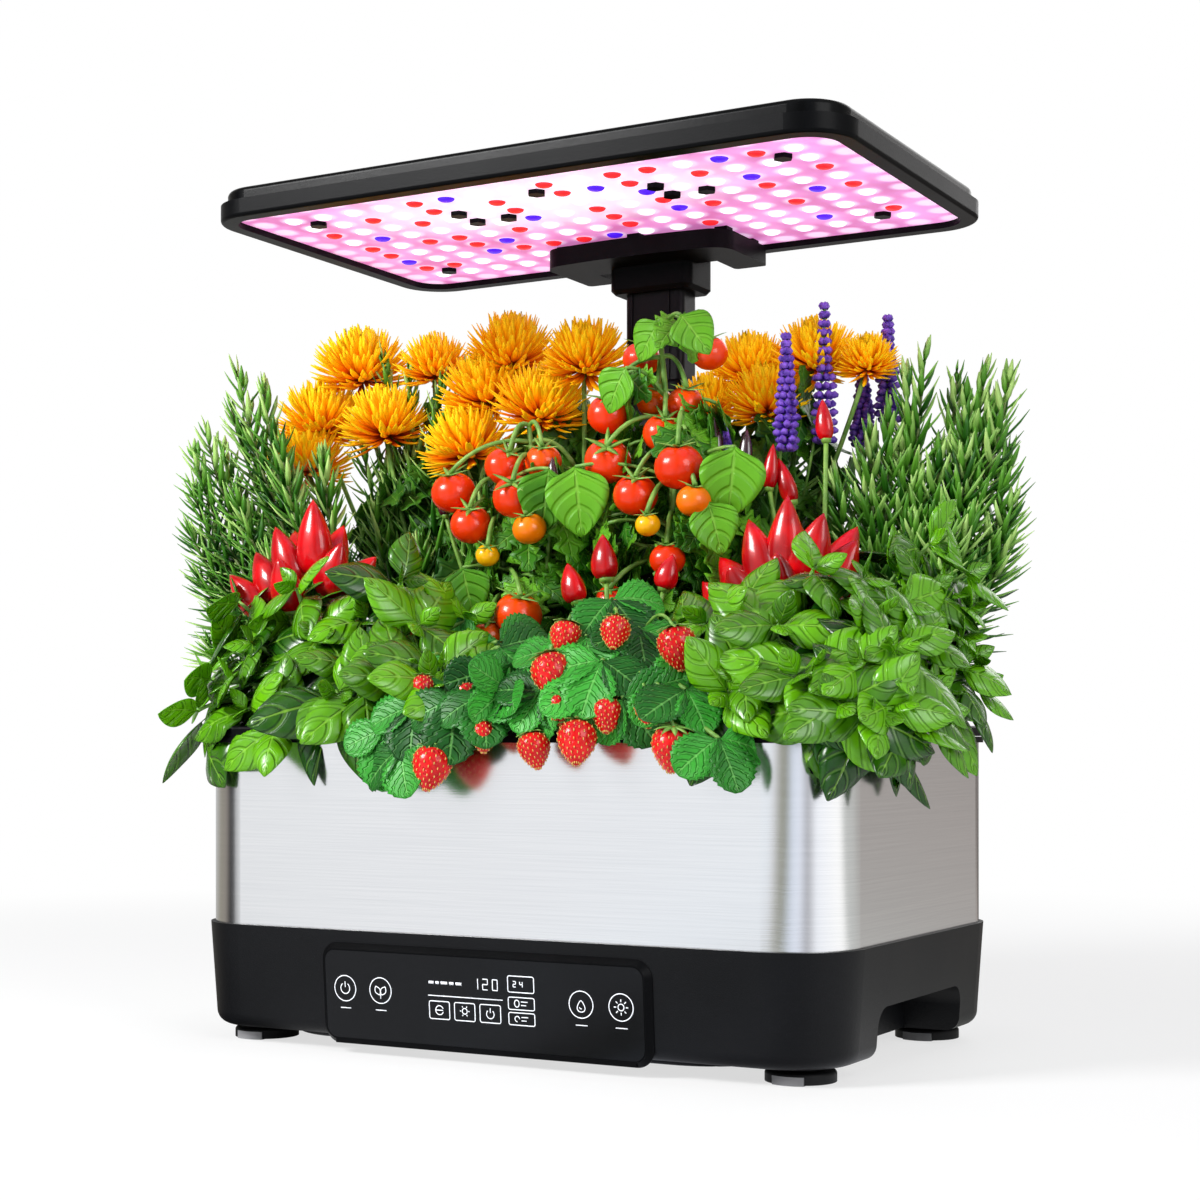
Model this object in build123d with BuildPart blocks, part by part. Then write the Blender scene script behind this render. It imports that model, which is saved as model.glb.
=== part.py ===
from build123d import *
from math import cos, pi, radians, sin, tan
import os

os.makedirs("parts", exist_ok=True)

# Countertop hydroponic garden. Millimetres, +Z up, front towards -Y.
# The origin lies on the table, under the middle of the base.

# ---- clearances ----
lift_gap = 0.3            # between a piece that lifts or slides and what carries it
channel_gap = 0.6         # round the mast, in the tank's channel
fit_gap = 0.2             # between two pieces that stay together
running_gap = 0.05        # radial, a shaft or pin in its bore

# ---- steel sleeve and base housing ----
sleeve_width = 392.0
sleeve_depth = 244.0
sleeve_corner = 37.0
sleeve_wall = 0.8
sleeve_top = 167.7
shelf_height = 62.0       # the sleeve and the tank stand here
shelf_thickness = 3.0
housing_top = 66.5
housing_bottom = 8.5
housing_rim = 2.4         # wall outside the sleeve, above the shelf
housing_wall = 3.0
housing_draft = 4.0
housing_edge = 8.0        # rounding under the walls
pocket_width = 122.0      # finger recess in each side, open below
pocket_height = 34.5
pocket_corner = 11.0
pocket_depth = 36.0
pocket_wall = 2.4
rib_thickness = 2.0
rib_height = 12.0
rib_places = (-115.0, -60.0, 60.0, 115.0)
access_margin_x = 10.0    # from the cover's edge to the opening in the housing's floor
access_margin_y = 16.0
access_corner = 11.0
boss_radius = 4.0
boss_margin = 25.0        # the outer bosses, inside the cover's ends
boss_gap = 6.5            # from the opening's edge to the bosses
inner_boss_x = 42.0

# ---- bottom cover and feet ----
cover_margin_x = 46.0     # from the sleeve's line to the cover's edge
cover_margin_y = 11.0
cover_corner = 45.0
cover_thickness = 2.5
cover_edge = 1.9
foot_margin_x = 30.0      # from the sleeve's line to the feet's middles
foot_margin_y = 33.0
foot_radius = 18.0
foot_height = 6.2
foot_neck = 11.0
pad_width = 17.0
pad_height = 4.4
pad_raise = 0.4           # the pad stands this far out of its foot
foot_rounding = 2.0
screw_head = 3.2
head_pocket = 1.2
screw_shank = 1.4
screw_length = 9.0

# ---- control panel ----
panel_width = 202.0
panel_height = 55.0
panel_middle = 32.5       # height of its middle
panel_corner = 10.0
panel_depth = 3.4
panel_chamfer = 3.0
chin_margin = 9.0         # lip of the bezel under the housing's lower edge
chin_drop = 0.6
glass_margin = 3.6
glass_thickness = 1.6
window_margin_x = 9.0
window_margin_y = 7.5
window_corner = 4.0
key_height = 3.6          # from the touch board to the glass
board_thickness = 1.6
board_gap = 1.0           # round the touch board in its window
board_corner = 3.0
display_width = 72.0
display_height = 30.0
key_margin = 16.5         # from the panel's end to the outer keys' middles
key_pitch = 23.0
key_pad_radius = 6.8
control_width = 150.0
control_depth = 80.0
control_post = 6.0
post_radius = 3.0
post_margin = 6.0
terminal_place = (-50.0, 20.0)
terminal_size = (30.0, 12.0)
coil_place = (20.0, -15.0)
coil_size = 22.0
capacitor_places = ((-10.0, 22.0), (5.0, 22.0))
capacitor_radius = 5.0
component_height = 9.0
jack_x = 120.0
jack_z = 30.0
jack_size = 11.0
jack_length = 14.0
jack_bore = 3.2
jack_pin = 1.0
jack_floor = 3.0

# ---- water tank ----
tank_wall = 2.4
tank_floor = 2.6
flange_overhang = 2.5     # beyond the sleeve
flange_thickness = 3.3

# ---- mast ----
mast_margin = 42.0        # from the sleeve's back to the mast's middle
mast_width = 44.0
mast_depth = 26.0
mast_corner = 6.0
mast_wall = 2.2
mast_top = 372.0
mast_foot_margin = 10.0
mast_foot_thickness = 3.0
bushing_height = 12.0
bushing_overhang = 2.0
bushing_plug = 14.0
inner_width = 38.8
inner_depth = 21.0
inner_corner = 4.0
inner_wall = 1.6
inner_bottom = 210.0
groove_width = 3.0
groove_depth = 0.8
groove_side = 12.5
guide_length = 24.0
guide_bore = 6.0

# ---- lamp ----
lamp_width = 390.0
lamp_depth = 230.0
lamp_corner = 28.0
lamp_reach = 78.0         # the lamp's middle, in front of the mast's
lamp_bottom = 464.0
frame_height = 10.0
frame_rounding = 2.0
frame_lip = 10.0
frame_band = 6.0          # sloped band between the lip and the board
board_recess = 3.5
hood_height = 8.0
hood_inset = 4.0
hood_wall = 2.0
hood_rounding = 3.0
led_columns = 16
led_rows = 9
led_margin_x = 38.25      # from the lamp's edge to the outer LEDs
led_margin_y = 36.6
led_radius = 4.6
led_height = 1.2
standoff_radius = 5.2
standoff_height = 2.4
bracket_width = 122.0
bracket_front = 37.0      # before the mast's axis
bracket_back = 21.0
bracket_thickness = 11.0
bracket_corner = 14.0
bracket_bow = 5.0
arm_width = 21.0
arm_notch = 26.0
arm_rounding = 3.0
collar_width = 54.4
collar_depth = 34.6
collar_height = 15.5
collar_corner = 6.0
collar_chamfer = 2.5
spacer_size = 8.0
driver_width = 110.0
driver_depth = 36.0
driver_height = 8.0
driver_corner = 3.0
driver_back = 20.0        # its middle, in front of the mast's axis

# ---- grow deck, fill lid and float ----
deck_thickness = 2.7
deck_edge = 3.0           # the rim stands this far above the deck
deck_bead = 5.0
deck_rounding = 2.0
deck_skirt = 8.0
skirt_gap = 0.8
skirt_wall = 1.6
cross_rib_gap = 0.5       # between the ribs' ends and the skirt's outside
rim_gap = 1.2             # round the mast, in the deck
rim_wall = 2.0
column_margin = 58.0      # from the sleeve's ends to the outer pods' middles
row_margin = 54.0
hole_radius = 17.0
fill_back = 12.0          # the opening's middle, behind the mast's
fill_size = 36.0
fill_corner = 4.0
lid_overlap = 3.6
lid_thickness = 2.0
lid_tab = 7.0
lid_barrel = 2.6
lid_axis_back = 24.0      # behind the opening's middle
lid_axis_rise = 3.0       # above the deck
pin_radius = 1.2
knuckle_width = 5.0
float_back = 21.0         # behind the mast's middle
float_stem = 2.6
float_radius = 9.0
float_drop = 48.0         # under the deck's top
float_height = 18.0
float_collar = 6.0
float_collar_height = 3.0
float_chamfer = 2.0
float_cap = 4.4
float_cap_height = 2.4

# ---- net cups ----
cup_collar = 19.5
cup_collar_thickness = 2.0
cup_radius = 16.2
cup_bottom_radius = 13.2
cup_depth = 46.3          # under the collar
cup_wall = 1.2
cup_slots = 6
slot_width = 5.0
slot_height = 24.0
slot_bottom = 5.0
slot_reach = 8.6
floor_slots = 4
floor_slot_place = 7.2
floor_slot_length = 6.0
floor_slot_width = 4.0
plug_gap = 0.25
soil_depth = 2.0          # the plants start inside their plugs
leaf_gap = 3.0            # between hanging leaves and the deck's rim
drape_depth = 10.0
drape_gap = 4.0
drape_rise = 38.0

# ---- pump ----
pump_back = 8.0           # behind the mast's middle
pump_width = 44.0
pump_depth = 30.0
pump_height = 30.0
pump_axis = 15.0          # above the tank's floor
pump_corner = 5.0
pump_rounding = 2.5
chamber_radius = 12.5
chamber_depth = 9.0
rotor_radius = 6.0
rotor_length = 14.0
rotor_gap = 1.0           # behind the magnet
shaft_radius = 1.0
shaft_seat = 3.0
impeller_radius = 11.0
impeller_hub = 3.6
blade_thickness = 1.4
blade_count = 6
blade_gap = 0.8           # before and behind the blades
cover_plate = 2.4
cover_inset = 1.0
cover_seat = 1.6          # depth of the shaft's seat in the cover
intake_count = 8
intake_place = 6.6
intake_length = 5.2
intake_width = 2.2
spout_wall = 1.6
spout_height = 5.0
spout_floor = 1.0
riser_radius = 4.2
riser_wall = 1.1
riser_drop = 22.0         # its top, under the deck's
riser_bend = 9.0

# ---- values that follow ----
housing_width = sleeve_width + 2 * (fit_gap + housing_rim)
housing_depth = sleeve_depth + 2 * (fit_gap + housing_rim)
housing_corner = sleeve_corner + fit_gap + housing_rim
cover_width = sleeve_width - 2 * cover_margin_x
cover_depth = sleeve_depth - 2 * cover_margin_y
access_width = cover_width - 2 * access_margin_x
access_depth = cover_depth - 2 * access_margin_y
boss_y = access_depth / 2 + boss_gap
boss_places = ((cover_width / 2 - boss_margin, boss_y), (inner_boss_x, boss_y))
foot_x = sleeve_width / 2 - foot_margin_x
foot_y = sleeve_depth / 2 - foot_margin_y
window_width = panel_width - 2 * window_margin_x
window_height = panel_height - 2 * window_margin_y
outer_key = panel_width / 2 - key_margin
key_places = (-outer_key, key_pitch - outer_key, outer_key - key_pitch, outer_key)
slope = tan(radians(housing_draft))
tank_width = sleeve_width - 2 * (sleeve_wall + fit_gap)
tank_depth = sleeve_depth - 2 * (sleeve_wall + fit_gap)
tank_corner = sleeve_corner - sleeve_wall - fit_gap
mast_y = sleeve_depth / 2 - mast_margin
lamp_y = mast_y - lamp_reach
led_pitch_x = (lamp_width - 2 * led_margin_x) / (led_columns - 1)
led_pitch_y = (lamp_depth - 2 * led_margin_y) / (led_rows - 1)
pitch_x = (sleeve_width / 2 - column_margin) / 1.5
pitch_y = sleeve_depth / 2 - row_margin
fill_x = pitch_x
fill_y = mast_y + fill_back
lid_axis_y = fill_y + lid_axis_back
float_x = -pitch_x
float_y = mast_y + float_back
pump_x = -pitch_x
pump_y = mast_y + pump_back
channel_width = mast_width + 2 * channel_gap
channel_front = mast_y - mast_depth / 2 - channel_gap
flange_top = sleeve_top + flange_thickness
deck_bottom = flange_top + lift_gap
deck_top = deck_bottom + deck_thickness
deck_edge_top = deck_top + deck_edge
float_bottom = deck_top - float_drop
riser_top = deck_top - riser_drop
collar_seat = deck_top + lift_gap
cup_bottom = collar_seat - cup_depth
rim_x = sleeve_width / 2 + flange_overhang
rim_y = sleeve_depth / 2 + flange_overhang
lid_axis_z = deck_top + lid_axis_rise
cover_bottom = housing_bottom - cover_thickness
water_floor = shelf_height + tank_floor
front_face = housing_depth / 2 - (housing_top - panel_middle) * slope
frame_top = lamp_bottom + frame_height
board_bottom = lamp_bottom + board_recess
board_top = board_bottom + board_thickness
bracket_bottom = lamp_bottom - bracket_thickness
collar_bottom = bracket_bottom - collar_height

# Planes of the drafted front and back walls, their normals pointing out.
panel_plane = Plane(
    origin=(0, -front_face, panel_middle),
    x_dir=(1, 0, 0),
    z_dir=(0, -cos(radians(housing_draft)), -sin(radians(housing_draft))),
)
jack_face = housing_depth / 2 - (housing_top - jack_z) * slope
jack_plane = Plane(
    origin=(jack_x, jack_face, jack_z),
    x_dir=(-1, 0, 0),
    z_dir=(0, cos(radians(housing_draft)), -sin(radians(housing_draft))),
)
corner_feet = [(x, y) for x in (-foot_x, foot_x) for y in (-foot_y, foot_y)]
cover_screws = [(side * x, end * y) for x, y in boss_places for side in (-1, 1) for end in (-1, 1)]


def finish(piece, name):
    """Label a finished piece and write it to its own file."""
    piece.part.label = name
    export_step(piece.part, f"parts/{name}.step")


def rounded_outline(width, depth, corner, height, cut_width=0.0, cut_front=0.0):
    """Rounded rectangle at a height, with an optional notch in the middle of its back."""
    with BuildSketch(Plane.XY.offset(height)) as outline:
        RectangleRounded(width, depth, corner)
        if cut_width:
            with Locations((0, cut_front)):
                Rectangle(cut_width, depth, align=(Align.CENTER, Align.MIN), mode=Mode.SUBTRACT)
    return outline.sketch


# ================= base =================

# Steel sleeve: a plain band round the tank, standing on the shelf.
with BuildPart() as steel_sleeve:
    with BuildSketch(Plane.XY.offset(shelf_height)):
        RectangleRounded(sleeve_width, sleeve_depth, sleeve_corner)
        offset(amount=-sleeve_wall, mode=Mode.SUBTRACT)
    extrude(amount=sleeve_top - shelf_height)
finish(steel_sleeve, "steel_sleeve")

# Outline of one finger recess in the side wall, rounded above and open below.
with BuildSketch() as pocket_outline:
    with Locations((0, pocket_height)):
        RectangleRounded(pocket_width, 2 * pocket_height, pocket_corner, align=(Align.CENTER, Align.MAX))
with BuildSketch() as pocket_shell_outline:
    add(pocket_outline.sketch)
    offset(amount=pocket_wall)
pocket_inside = housing_width / 2 - pocket_depth

# The air inside the housing: a drafted room without the walls round the two recesses.
with BuildPart() as housing_room:
    with BuildSketch(Plane.XY.offset(shelf_height - shelf_thickness)):
        RectangleRounded(
            housing_width - 2 * (housing_wall + shelf_thickness * slope),
            housing_depth - 2 * (housing_wall + shelf_thickness * slope),
            housing_corner - housing_wall,
        )
    extrude(
        amount=-(shelf_height - shelf_thickness - housing_bottom - housing_wall),
        taper=housing_draft,
    )
    fillet(housing_room.faces().sort_by(Axis.Z)[0].edges(), housing_edge - housing_wall)
    for side in (-1, 1):
        with BuildSketch(Plane.YZ.offset(side * (pocket_inside - pocket_wall))):
            add(pocket_shell_outline.sketch)
        extrude(amount=side * pocket_depth * 2, mode=Mode.SUBTRACT)
    with BuildSketch(Plane.XY.offset(housing_bottom)):
        with Locations(*cover_screws):
            Circle(boss_radius)
    extrude(amount=shelf_height, mode=Mode.SUBTRACT)
    for x in rib_places:
        with BuildSketch(Plane.XY.offset(shelf_height - shelf_thickness - rib_height)):
            with Locations((x, 0)):
                Rectangle(rib_thickness, housing_depth)
        extrude(amount=rib_height, mode=Mode.SUBTRACT)

with BuildPart() as base_housing:
    with BuildSketch(Plane.XY.offset(housing_top)):
        RectangleRounded(housing_width, housing_depth, housing_corner)
    extrude(amount=-(housing_top - housing_bottom), taper=housing_draft)
    fillet(base_housing.faces().sort_by(Axis.Z)[0].edges(), housing_edge)
    # seat of the sleeve, and the room under the shelf
    with BuildSketch(Plane.XY.offset(shelf_height)):
        RectangleRounded(
            sleeve_width + 2 * fit_gap, sleeve_depth + 2 * fit_gap, sleeve_corner + fit_gap)
    extrude(amount=housing_top - shelf_height, mode=Mode.SUBTRACT)
    add(housing_room.part, mode=Mode.SUBTRACT)
    for side in (-1, 1):
        with BuildSketch(Plane.YZ.offset(side * pocket_inside)):
            add(pocket_outline.sketch)
        extrude(amount=side * pocket_depth * 2, mode=Mode.SUBTRACT)
    # access opening in the floor, mast hole in the shelf
    with BuildSketch(Plane.XY.offset(housing_bottom)):
        RectangleRounded(access_width, access_depth, access_corner)
    extrude(amount=housing_wall, mode=Mode.SUBTRACT)
    with BuildSketch(Plane.XY.offset(shelf_height)):
        with Locations((0, mast_y)):
            RectangleRounded(mast_width + 2 * fit_gap, mast_depth + 2 * fit_gap, mast_corner + fit_gap)
    extrude(amount=-shelf_thickness, mode=Mode.SUBTRACT)
    # window behind the panel's glass, and the power inlet's hole
    with BuildSketch(panel_plane):
        RectangleRounded(window_width, window_height, window_corner)
    extrude(amount=-2 * housing_wall, mode=Mode.SUBTRACT)
    with BuildSketch(jack_plane):
        Rectangle(jack_size + 2 * fit_gap, jack_size + 2 * fit_gap)
    extrude(amount=-2 * housing_wall, mode=Mode.SUBTRACT)
    # screw holes in the bosses
    with BuildSketch(Plane.XY.offset(housing_bottom)):
        with Locations(*cover_screws):
            Circle(screw_shank)
    extrude(amount=screw_length, mode=Mode.SUBTRACT)
finish(base_housing, "base_housing")

# Bottom cover: a shallow pan under the access opening, on posts inside for the board.
post_x = control_width / 2 - post_margin
post_y = control_depth / 2 - post_margin
board_posts = [(side * post_x, end * post_y) for side in (-1, 1) for end in (-1, 1)]
with BuildPart() as bottom_cover:
    with BuildSketch(Plane.XY.offset(cover_bottom)):
        RectangleRounded(cover_width, cover_depth, cover_corner)
    extrude(amount=cover_thickness)
    fillet(bottom_cover.faces().sort_by(Axis.Z)[0].edges(), cover_edge)
    with BuildSketch(Plane.XY.offset(housing_bottom)):
        RectangleRounded(access_width - 2 * fit_gap, access_depth - 2 * fit_gap, access_corner - fit_gap)
        offset(amount=-housing_wall, mode=Mode.SUBTRACT)
    extrude(amount=housing_wall)
    with BuildSketch(Plane.XY.offset(housing_bottom)):
        with Locations(*board_posts):
            Circle(post_radius)
    extrude(amount=control_post)
    with BuildSketch(Plane.XY.offset(housing_bottom)):
        with Locations(*cover_screws):
            Circle(screw_shank)
    extrude(amount=-cover_thickness, mode=Mode.SUBTRACT)
    with BuildSketch(Plane.XY.offset(cover_bottom)):
        with Locations(*cover_screws):
            Circle(screw_head)
    extrude(amount=head_pocket, mode=Mode.SUBTRACT)
finish(bottom_cover, "bottom_cover")

with BuildPart() as base_screws:
    for x, y in cover_screws:
        with BuildSketch(Plane.XY.offset(cover_bottom + fit_gap)):
            with Locations((x, y)):
                RegularPolygon(screw_head - fit_gap, 6)
        extrude(amount=head_pocket - fit_gap)
        with BuildSketch(Plane.XY.offset(cover_bottom + head_pocket)):
            with Locations((x, y)):
                RegularPolygon(screw_shank - running_gap, 6)
        extrude(amount=screw_length)
finish(base_screws, "base_screws")

# Feet: round discs on a neck, slotted across for a soft pad.
with BuildPart() as foot_cups:
    for x, y in corner_feet:
        with BuildSketch(Plane.XY.offset(pad_raise)):
            with Locations((x, y)):
                Circle(foot_radius)
        extrude(amount=foot_height - pad_raise)
        with BuildSketch(Plane.XY.offset(foot_height)):
            with Locations((x, y)):
                Circle(foot_neck)
        extrude(amount=housing_bottom - foot_height)
    fillet(foot_cups.edges().filter_by(GeomType.CIRCLE).filter_by_position(
        Axis.Z, foot_height - running_gap, foot_height + running_gap).sort_by(SortBy.LENGTH)[-4:],
        foot_rounding)
    with BuildSketch(Plane.XY):
        with Locations(*corner_feet):
            Rectangle(pad_width + 2 * fit_gap, 3 * foot_radius)
    extrude(amount=pad_height, mode=Mode.SUBTRACT)
finish(foot_cups, "foot_cups")

with BuildPart() as foot_pads:
    for x, y in corner_feet:
        with BuildSketch(Plane.XY):
            with Locations((x, y)):
                Rectangle(pad_width, 3 * foot_radius)
                Circle(foot_radius + fit_gap, mode=Mode.INTERSECT)
        extrude(amount=pad_height)
finish(foot_pads, "foot_pads")

# Control panel: a chamfered frame on the drafted front wall, with a chin under the housing.
with BuildPart() as panel_bezel:
    with BuildSketch(panel_plane):
        RectangleRounded(panel_width, panel_height, panel_corner)
    extrude(amount=panel_depth)
    outwards = Axis(panel_plane.origin, panel_plane.z_dir)
    chamfer(panel_bezel.faces().sort_by(outwards)[-1].edges(), panel_chamfer)
    with BuildSketch(panel_plane.offset(panel_depth)):
        RectangleRounded(
            panel_width - 2 * glass_margin, panel_height - 2 * glass_margin, panel_corner - glass_margin)
    extrude(amount=-glass_thickness - fit_gap, mode=Mode.SUBTRACT)
    with BuildSketch(panel_plane):
        RectangleRounded(window_width, window_height, window_corner)
    extrude(amount=panel_depth, mode=Mode.SUBTRACT)
    chin_bottom = panel_middle - panel_height / 2 + chin_drop
    chin_back = -cover_depth / 2 - fit_gap
    with BuildSketch(Plane.XY.offset(chin_bottom)):
        with Locations((0, chin_back)):
            Rectangle(panel_width - 2 * chin_margin, chin_back + front_face + panel_depth / 2,
                      align=(Align.CENTER, Align.MAX))
    extrude(amount=housing_bottom - chin_bottom)
finish(panel_bezel, "panel_bezel")

with BuildPart() as panel_glass:
    with BuildSketch(panel_plane.offset(panel_depth)):
        RectangleRounded(
            panel_width - 2 * (glass_margin + fit_gap),
            panel_height - 2 * (glass_margin + fit_gap),
            panel_corner - glass_margin - fit_gap,
        )
    extrude(amount=-glass_thickness)
finish(panel_glass, "panel_glass")

board_face = panel_plane.offset(panel_depth - glass_thickness - key_height)
with BuildPart() as touch_board:
    with BuildSketch(board_face):
        RectangleRounded(window_width - 2 * board_gap, window_height - 2 * board_gap, board_corner)
    extrude(amount=-board_thickness)
    with BuildSketch(board_face):
        with Locations(*[(x, 0) for x in key_places]):
            Circle(key_pad_radius)
    extrude(amount=key_height - fit_gap)
finish(touch_board, "touch_board")

with BuildPart() as display_module:
    with BuildSketch(board_face):
        Rectangle(display_width, display_height)
    extrude(amount=key_height - fit_gap)
finish(display_module, "display_module")

# Control board on the cover's posts, with its terminal block, coil and capacitors.
board_z = housing_bottom + control_post
with BuildPart() as control_board:
    with BuildSketch(Plane.XY.offset(board_z)):
        RectangleRounded(control_width, control_depth, board_corner)
    extrude(amount=board_thickness)
    with BuildSketch(Plane.XY.offset(board_z + board_thickness)):
        with Locations(terminal_place):
            Rectangle(*terminal_size)
        with Locations(coil_place):
            Rectangle(coil_size, coil_size)
        with Locations(*capacitor_places):
            RegularPolygon(capacitor_radius, 8)
    extrude(amount=component_height)
finish(control_board, "control_board")

with BuildPart() as dc_jack:
    with BuildSketch(jack_plane):
        Rectangle(jack_size, jack_size)
    extrude(amount=-jack_length)
    with BuildSketch(jack_plane):
        Circle(jack_bore)
        Circle(jack_pin, mode=Mode.SUBTRACT)
    extrude(amount=-(jack_length - jack_floor), mode=Mode.SUBTRACT)
finish(dc_jack, "dc_jack")

# Water tank: an open tub with a dry channel for the mast, its flange over the sleeve's edge.
with BuildPart() as water_tank:
    add(rounded_outline(tank_width, tank_depth, tank_corner, shelf_height,
                        channel_width, channel_front))
    extrude(amount=sleeve_top - shelf_height)
    with BuildSketch(Plane.XY.offset(sleeve_top)):
        RectangleRounded(
            sleeve_width + 2 * flange_overhang,
            sleeve_depth + 2 * flange_overhang,
            sleeve_corner + flange_overhang,
        )
    extrude(amount=flange_thickness)
    add(rounded_outline(tank_width - 2 * tank_wall, tank_depth - 2 * tank_wall, tank_corner - tank_wall,
                        water_floor, channel_width + 2 * tank_wall, channel_front - tank_wall))
    extrude(amount=flange_top - water_floor, mode=Mode.SUBTRACT)
    with BuildSketch(Plane.XY.offset(sleeve_top)):
        with Locations((0, channel_front)):
            Rectangle(channel_width, mast_depth + 2 * channel_gap, align=(Align.CENTER, Align.MIN))
    extrude(amount=flange_thickness, mode=Mode.SUBTRACT)
finish(water_tank, "water_tank")

# ================= pump =================

pump_axis_z = water_floor + pump_axis
pump_front = pump_y - pump_depth / 2
with BuildPart() as pump_housing:
    with BuildSketch(Plane.XY.offset(water_floor)):
        with Locations((pump_x, pump_y)):
            RectangleRounded(pump_width, pump_depth, pump_corner)
    extrude(amount=pump_height)
    fillet(pump_housing.faces().sort_by(Axis.Z)[-1].edges(), pump_rounding)
    # tangential outlet above the chamber
    outlet_x = pump_x - chamber_radius + riser_radius - riser_wall / 2
    with BuildSketch(Plane.XY.offset(water_floor + pump_height)):
        with Locations((outlet_x, pump_front + chamber_depth)):
            Circle(riser_radius + spout_wall)
    extrude(amount=spout_height)
    with BuildSketch(Plane.XY.offset(water_floor + pump_height + spout_height)):
        with Locations((outlet_x, pump_front + chamber_depth)):
            Circle(riser_radius + running_gap)
    extrude(amount=-spout_height - spout_floor, mode=Mode.SUBTRACT)
    with BuildSketch(Plane.XY.offset(water_floor + pump_height)):
        with Locations((outlet_x, pump_front + chamber_depth - riser_radius)):
            Circle(riser_radius - riser_wall)
    extrude(amount=-(pump_height - pump_axis), mode=Mode.SUBTRACT)
    # impeller chamber and rotor well, open to the front
    with BuildSketch(Plane.XZ.offset(-pump_front)):
        with Locations((pump_x, pump_axis_z)):
            Circle(chamber_radius)
    extrude(amount=-chamber_depth, mode=Mode.SUBTRACT)
    with BuildSketch(Plane.XZ.offset(-pump_front)):
        with Locations((pump_x, pump_axis_z)):
            Circle(rotor_radius + lift_gap)
    extrude(amount=-(chamber_depth + rotor_length + rotor_gap), mode=Mode.SUBTRACT)
    with BuildSketch(Plane.XZ.offset(-pump_front)):
        with Locations((pump_x, pump_axis_z)):
            Circle(shaft_radius)
    extrude(amount=-(chamber_depth + rotor_length + rotor_gap + shaft_seat), mode=Mode.SUBTRACT)
finish(pump_housing, "pump_housing")

# Intake cover: a slotted plate that holds the shaft's front end.
with BuildPart() as pump_cover:
    with BuildSketch(Plane.XZ.offset(-pump_front)):
        with Locations((pump_x, water_floor + pump_height / 2)):
            RectangleRounded(
                pump_width - 2 * cover_inset, pump_height - 2 * cover_inset, pump_corner - cover_inset)
    extrude(amount=cover_plate)
    with BuildSketch(Plane.XZ.offset(-pump_front)):
        with Locations((pump_x, pump_axis_z)):
            with PolarLocations(intake_place, intake_count):
                Rectangle(intake_length, intake_width)
    extrude(amount=cover_plate, mode=Mode.SUBTRACT)
    with BuildSketch(Plane.XZ.offset(-pump_front)):
        with Locations((pump_x, pump_axis_z)):
            Circle(shaft_radius)
    extrude(amount=cover_seat, mode=Mode.SUBTRACT)
finish(pump_cover, "pump_cover")

shaft_front = pump_front - cover_seat
with BuildPart() as pump_shaft:
    with BuildSketch(Plane.XZ.offset(-shaft_front)):
        with Locations((pump_x, pump_axis_z)):
            Circle(shaft_radius)
    extrude(amount=-(cover_seat + chamber_depth + rotor_length + rotor_gap + shaft_seat))
finish(pump_shaft, "pump_shaft")

# Impeller: radial blades on a hub, in one piece with its magnet.
blade_front = pump_front + blade_gap
with BuildPart() as pump_impeller:
    with BuildSketch(Plane.XZ.offset(-blade_front)):
        with Locations((pump_x, pump_axis_z)):
            Circle(impeller_hub)
            with PolarLocations(0, blade_count):
                Rectangle(impeller_radius, blade_thickness, align=(Align.MIN, Align.CENTER))
    extrude(amount=-(chamber_depth - 2 * blade_gap))
    with BuildSketch(Plane.XZ.offset(-blade_front)):
        with Locations((pump_x, pump_axis_z)):
            Circle(rotor_radius)
    extrude(amount=-(chamber_depth + rotor_length - blade_gap))
    with BuildSketch(Plane.XZ.offset(-blade_front)):
        with Locations((pump_x, pump_axis_z)):
            Circle(shaft_radius + running_gap)
    extrude(amount=-(chamber_depth + rotor_length), mode=Mode.SUBTRACT)
finish(pump_impeller, "pump_impeller")

# Riser: a bent tube from the pump's outlet to above the water.
riser_y = pump_front + chamber_depth
with BuildPart() as riser_pipe:
    with BuildLine() as riser_path:
        foot_point = (outlet_x, riser_y, water_floor + pump_height - spout_floor)
        bend_start = (outlet_x, riser_y, riser_top - riser_bend)
        Line(foot_point, bend_start)
        ThreePointArc(
            bend_start,
            (outlet_x - riser_bend * (1 - cos(pi / 4)), riser_y, riser_top - riser_bend * (1 - sin(pi / 4))),
            (outlet_x - riser_bend, riser_y, riser_top),
        )
    with BuildSketch(Plane(origin=foot_point, z_dir=(0, 0, 1))):
        Circle(riser_radius)
        Circle(riser_radius - riser_wall, mode=Mode.SUBTRACT)
    sweep()
finish(riser_pipe, "riser_pipe")

# ================= mast =================

mast_bottom = shelf_height - shelf_thickness - mast_foot_thickness
with BuildPart() as mast_outer:
    with BuildSketch(Plane.XY.offset(mast_bottom)):
        with Locations((0, mast_y)):
            RectangleRounded(mast_width + 2 * mast_foot_margin, mast_depth + 2 * mast_foot_margin, mast_corner)
    extrude(amount=mast_foot_thickness)
    with BuildSketch(Plane.XY.offset(mast_bottom + mast_foot_thickness)):
        with Locations((0, mast_y)):
            RectangleRounded(mast_width, mast_depth, mast_corner)
    extrude(amount=mast_top - mast_bottom - mast_foot_thickness)
    with BuildSketch(Plane.XY.offset(mast_bottom)):
        with Locations((0, mast_y)):
            RectangleRounded(
                mast_width - 2 * mast_wall, mast_depth - 2 * mast_wall, mast_corner - mast_wall)
    extrude(amount=mast_top - mast_bottom, mode=Mode.SUBTRACT)
finish(mast_outer, "mast_outer")

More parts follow.
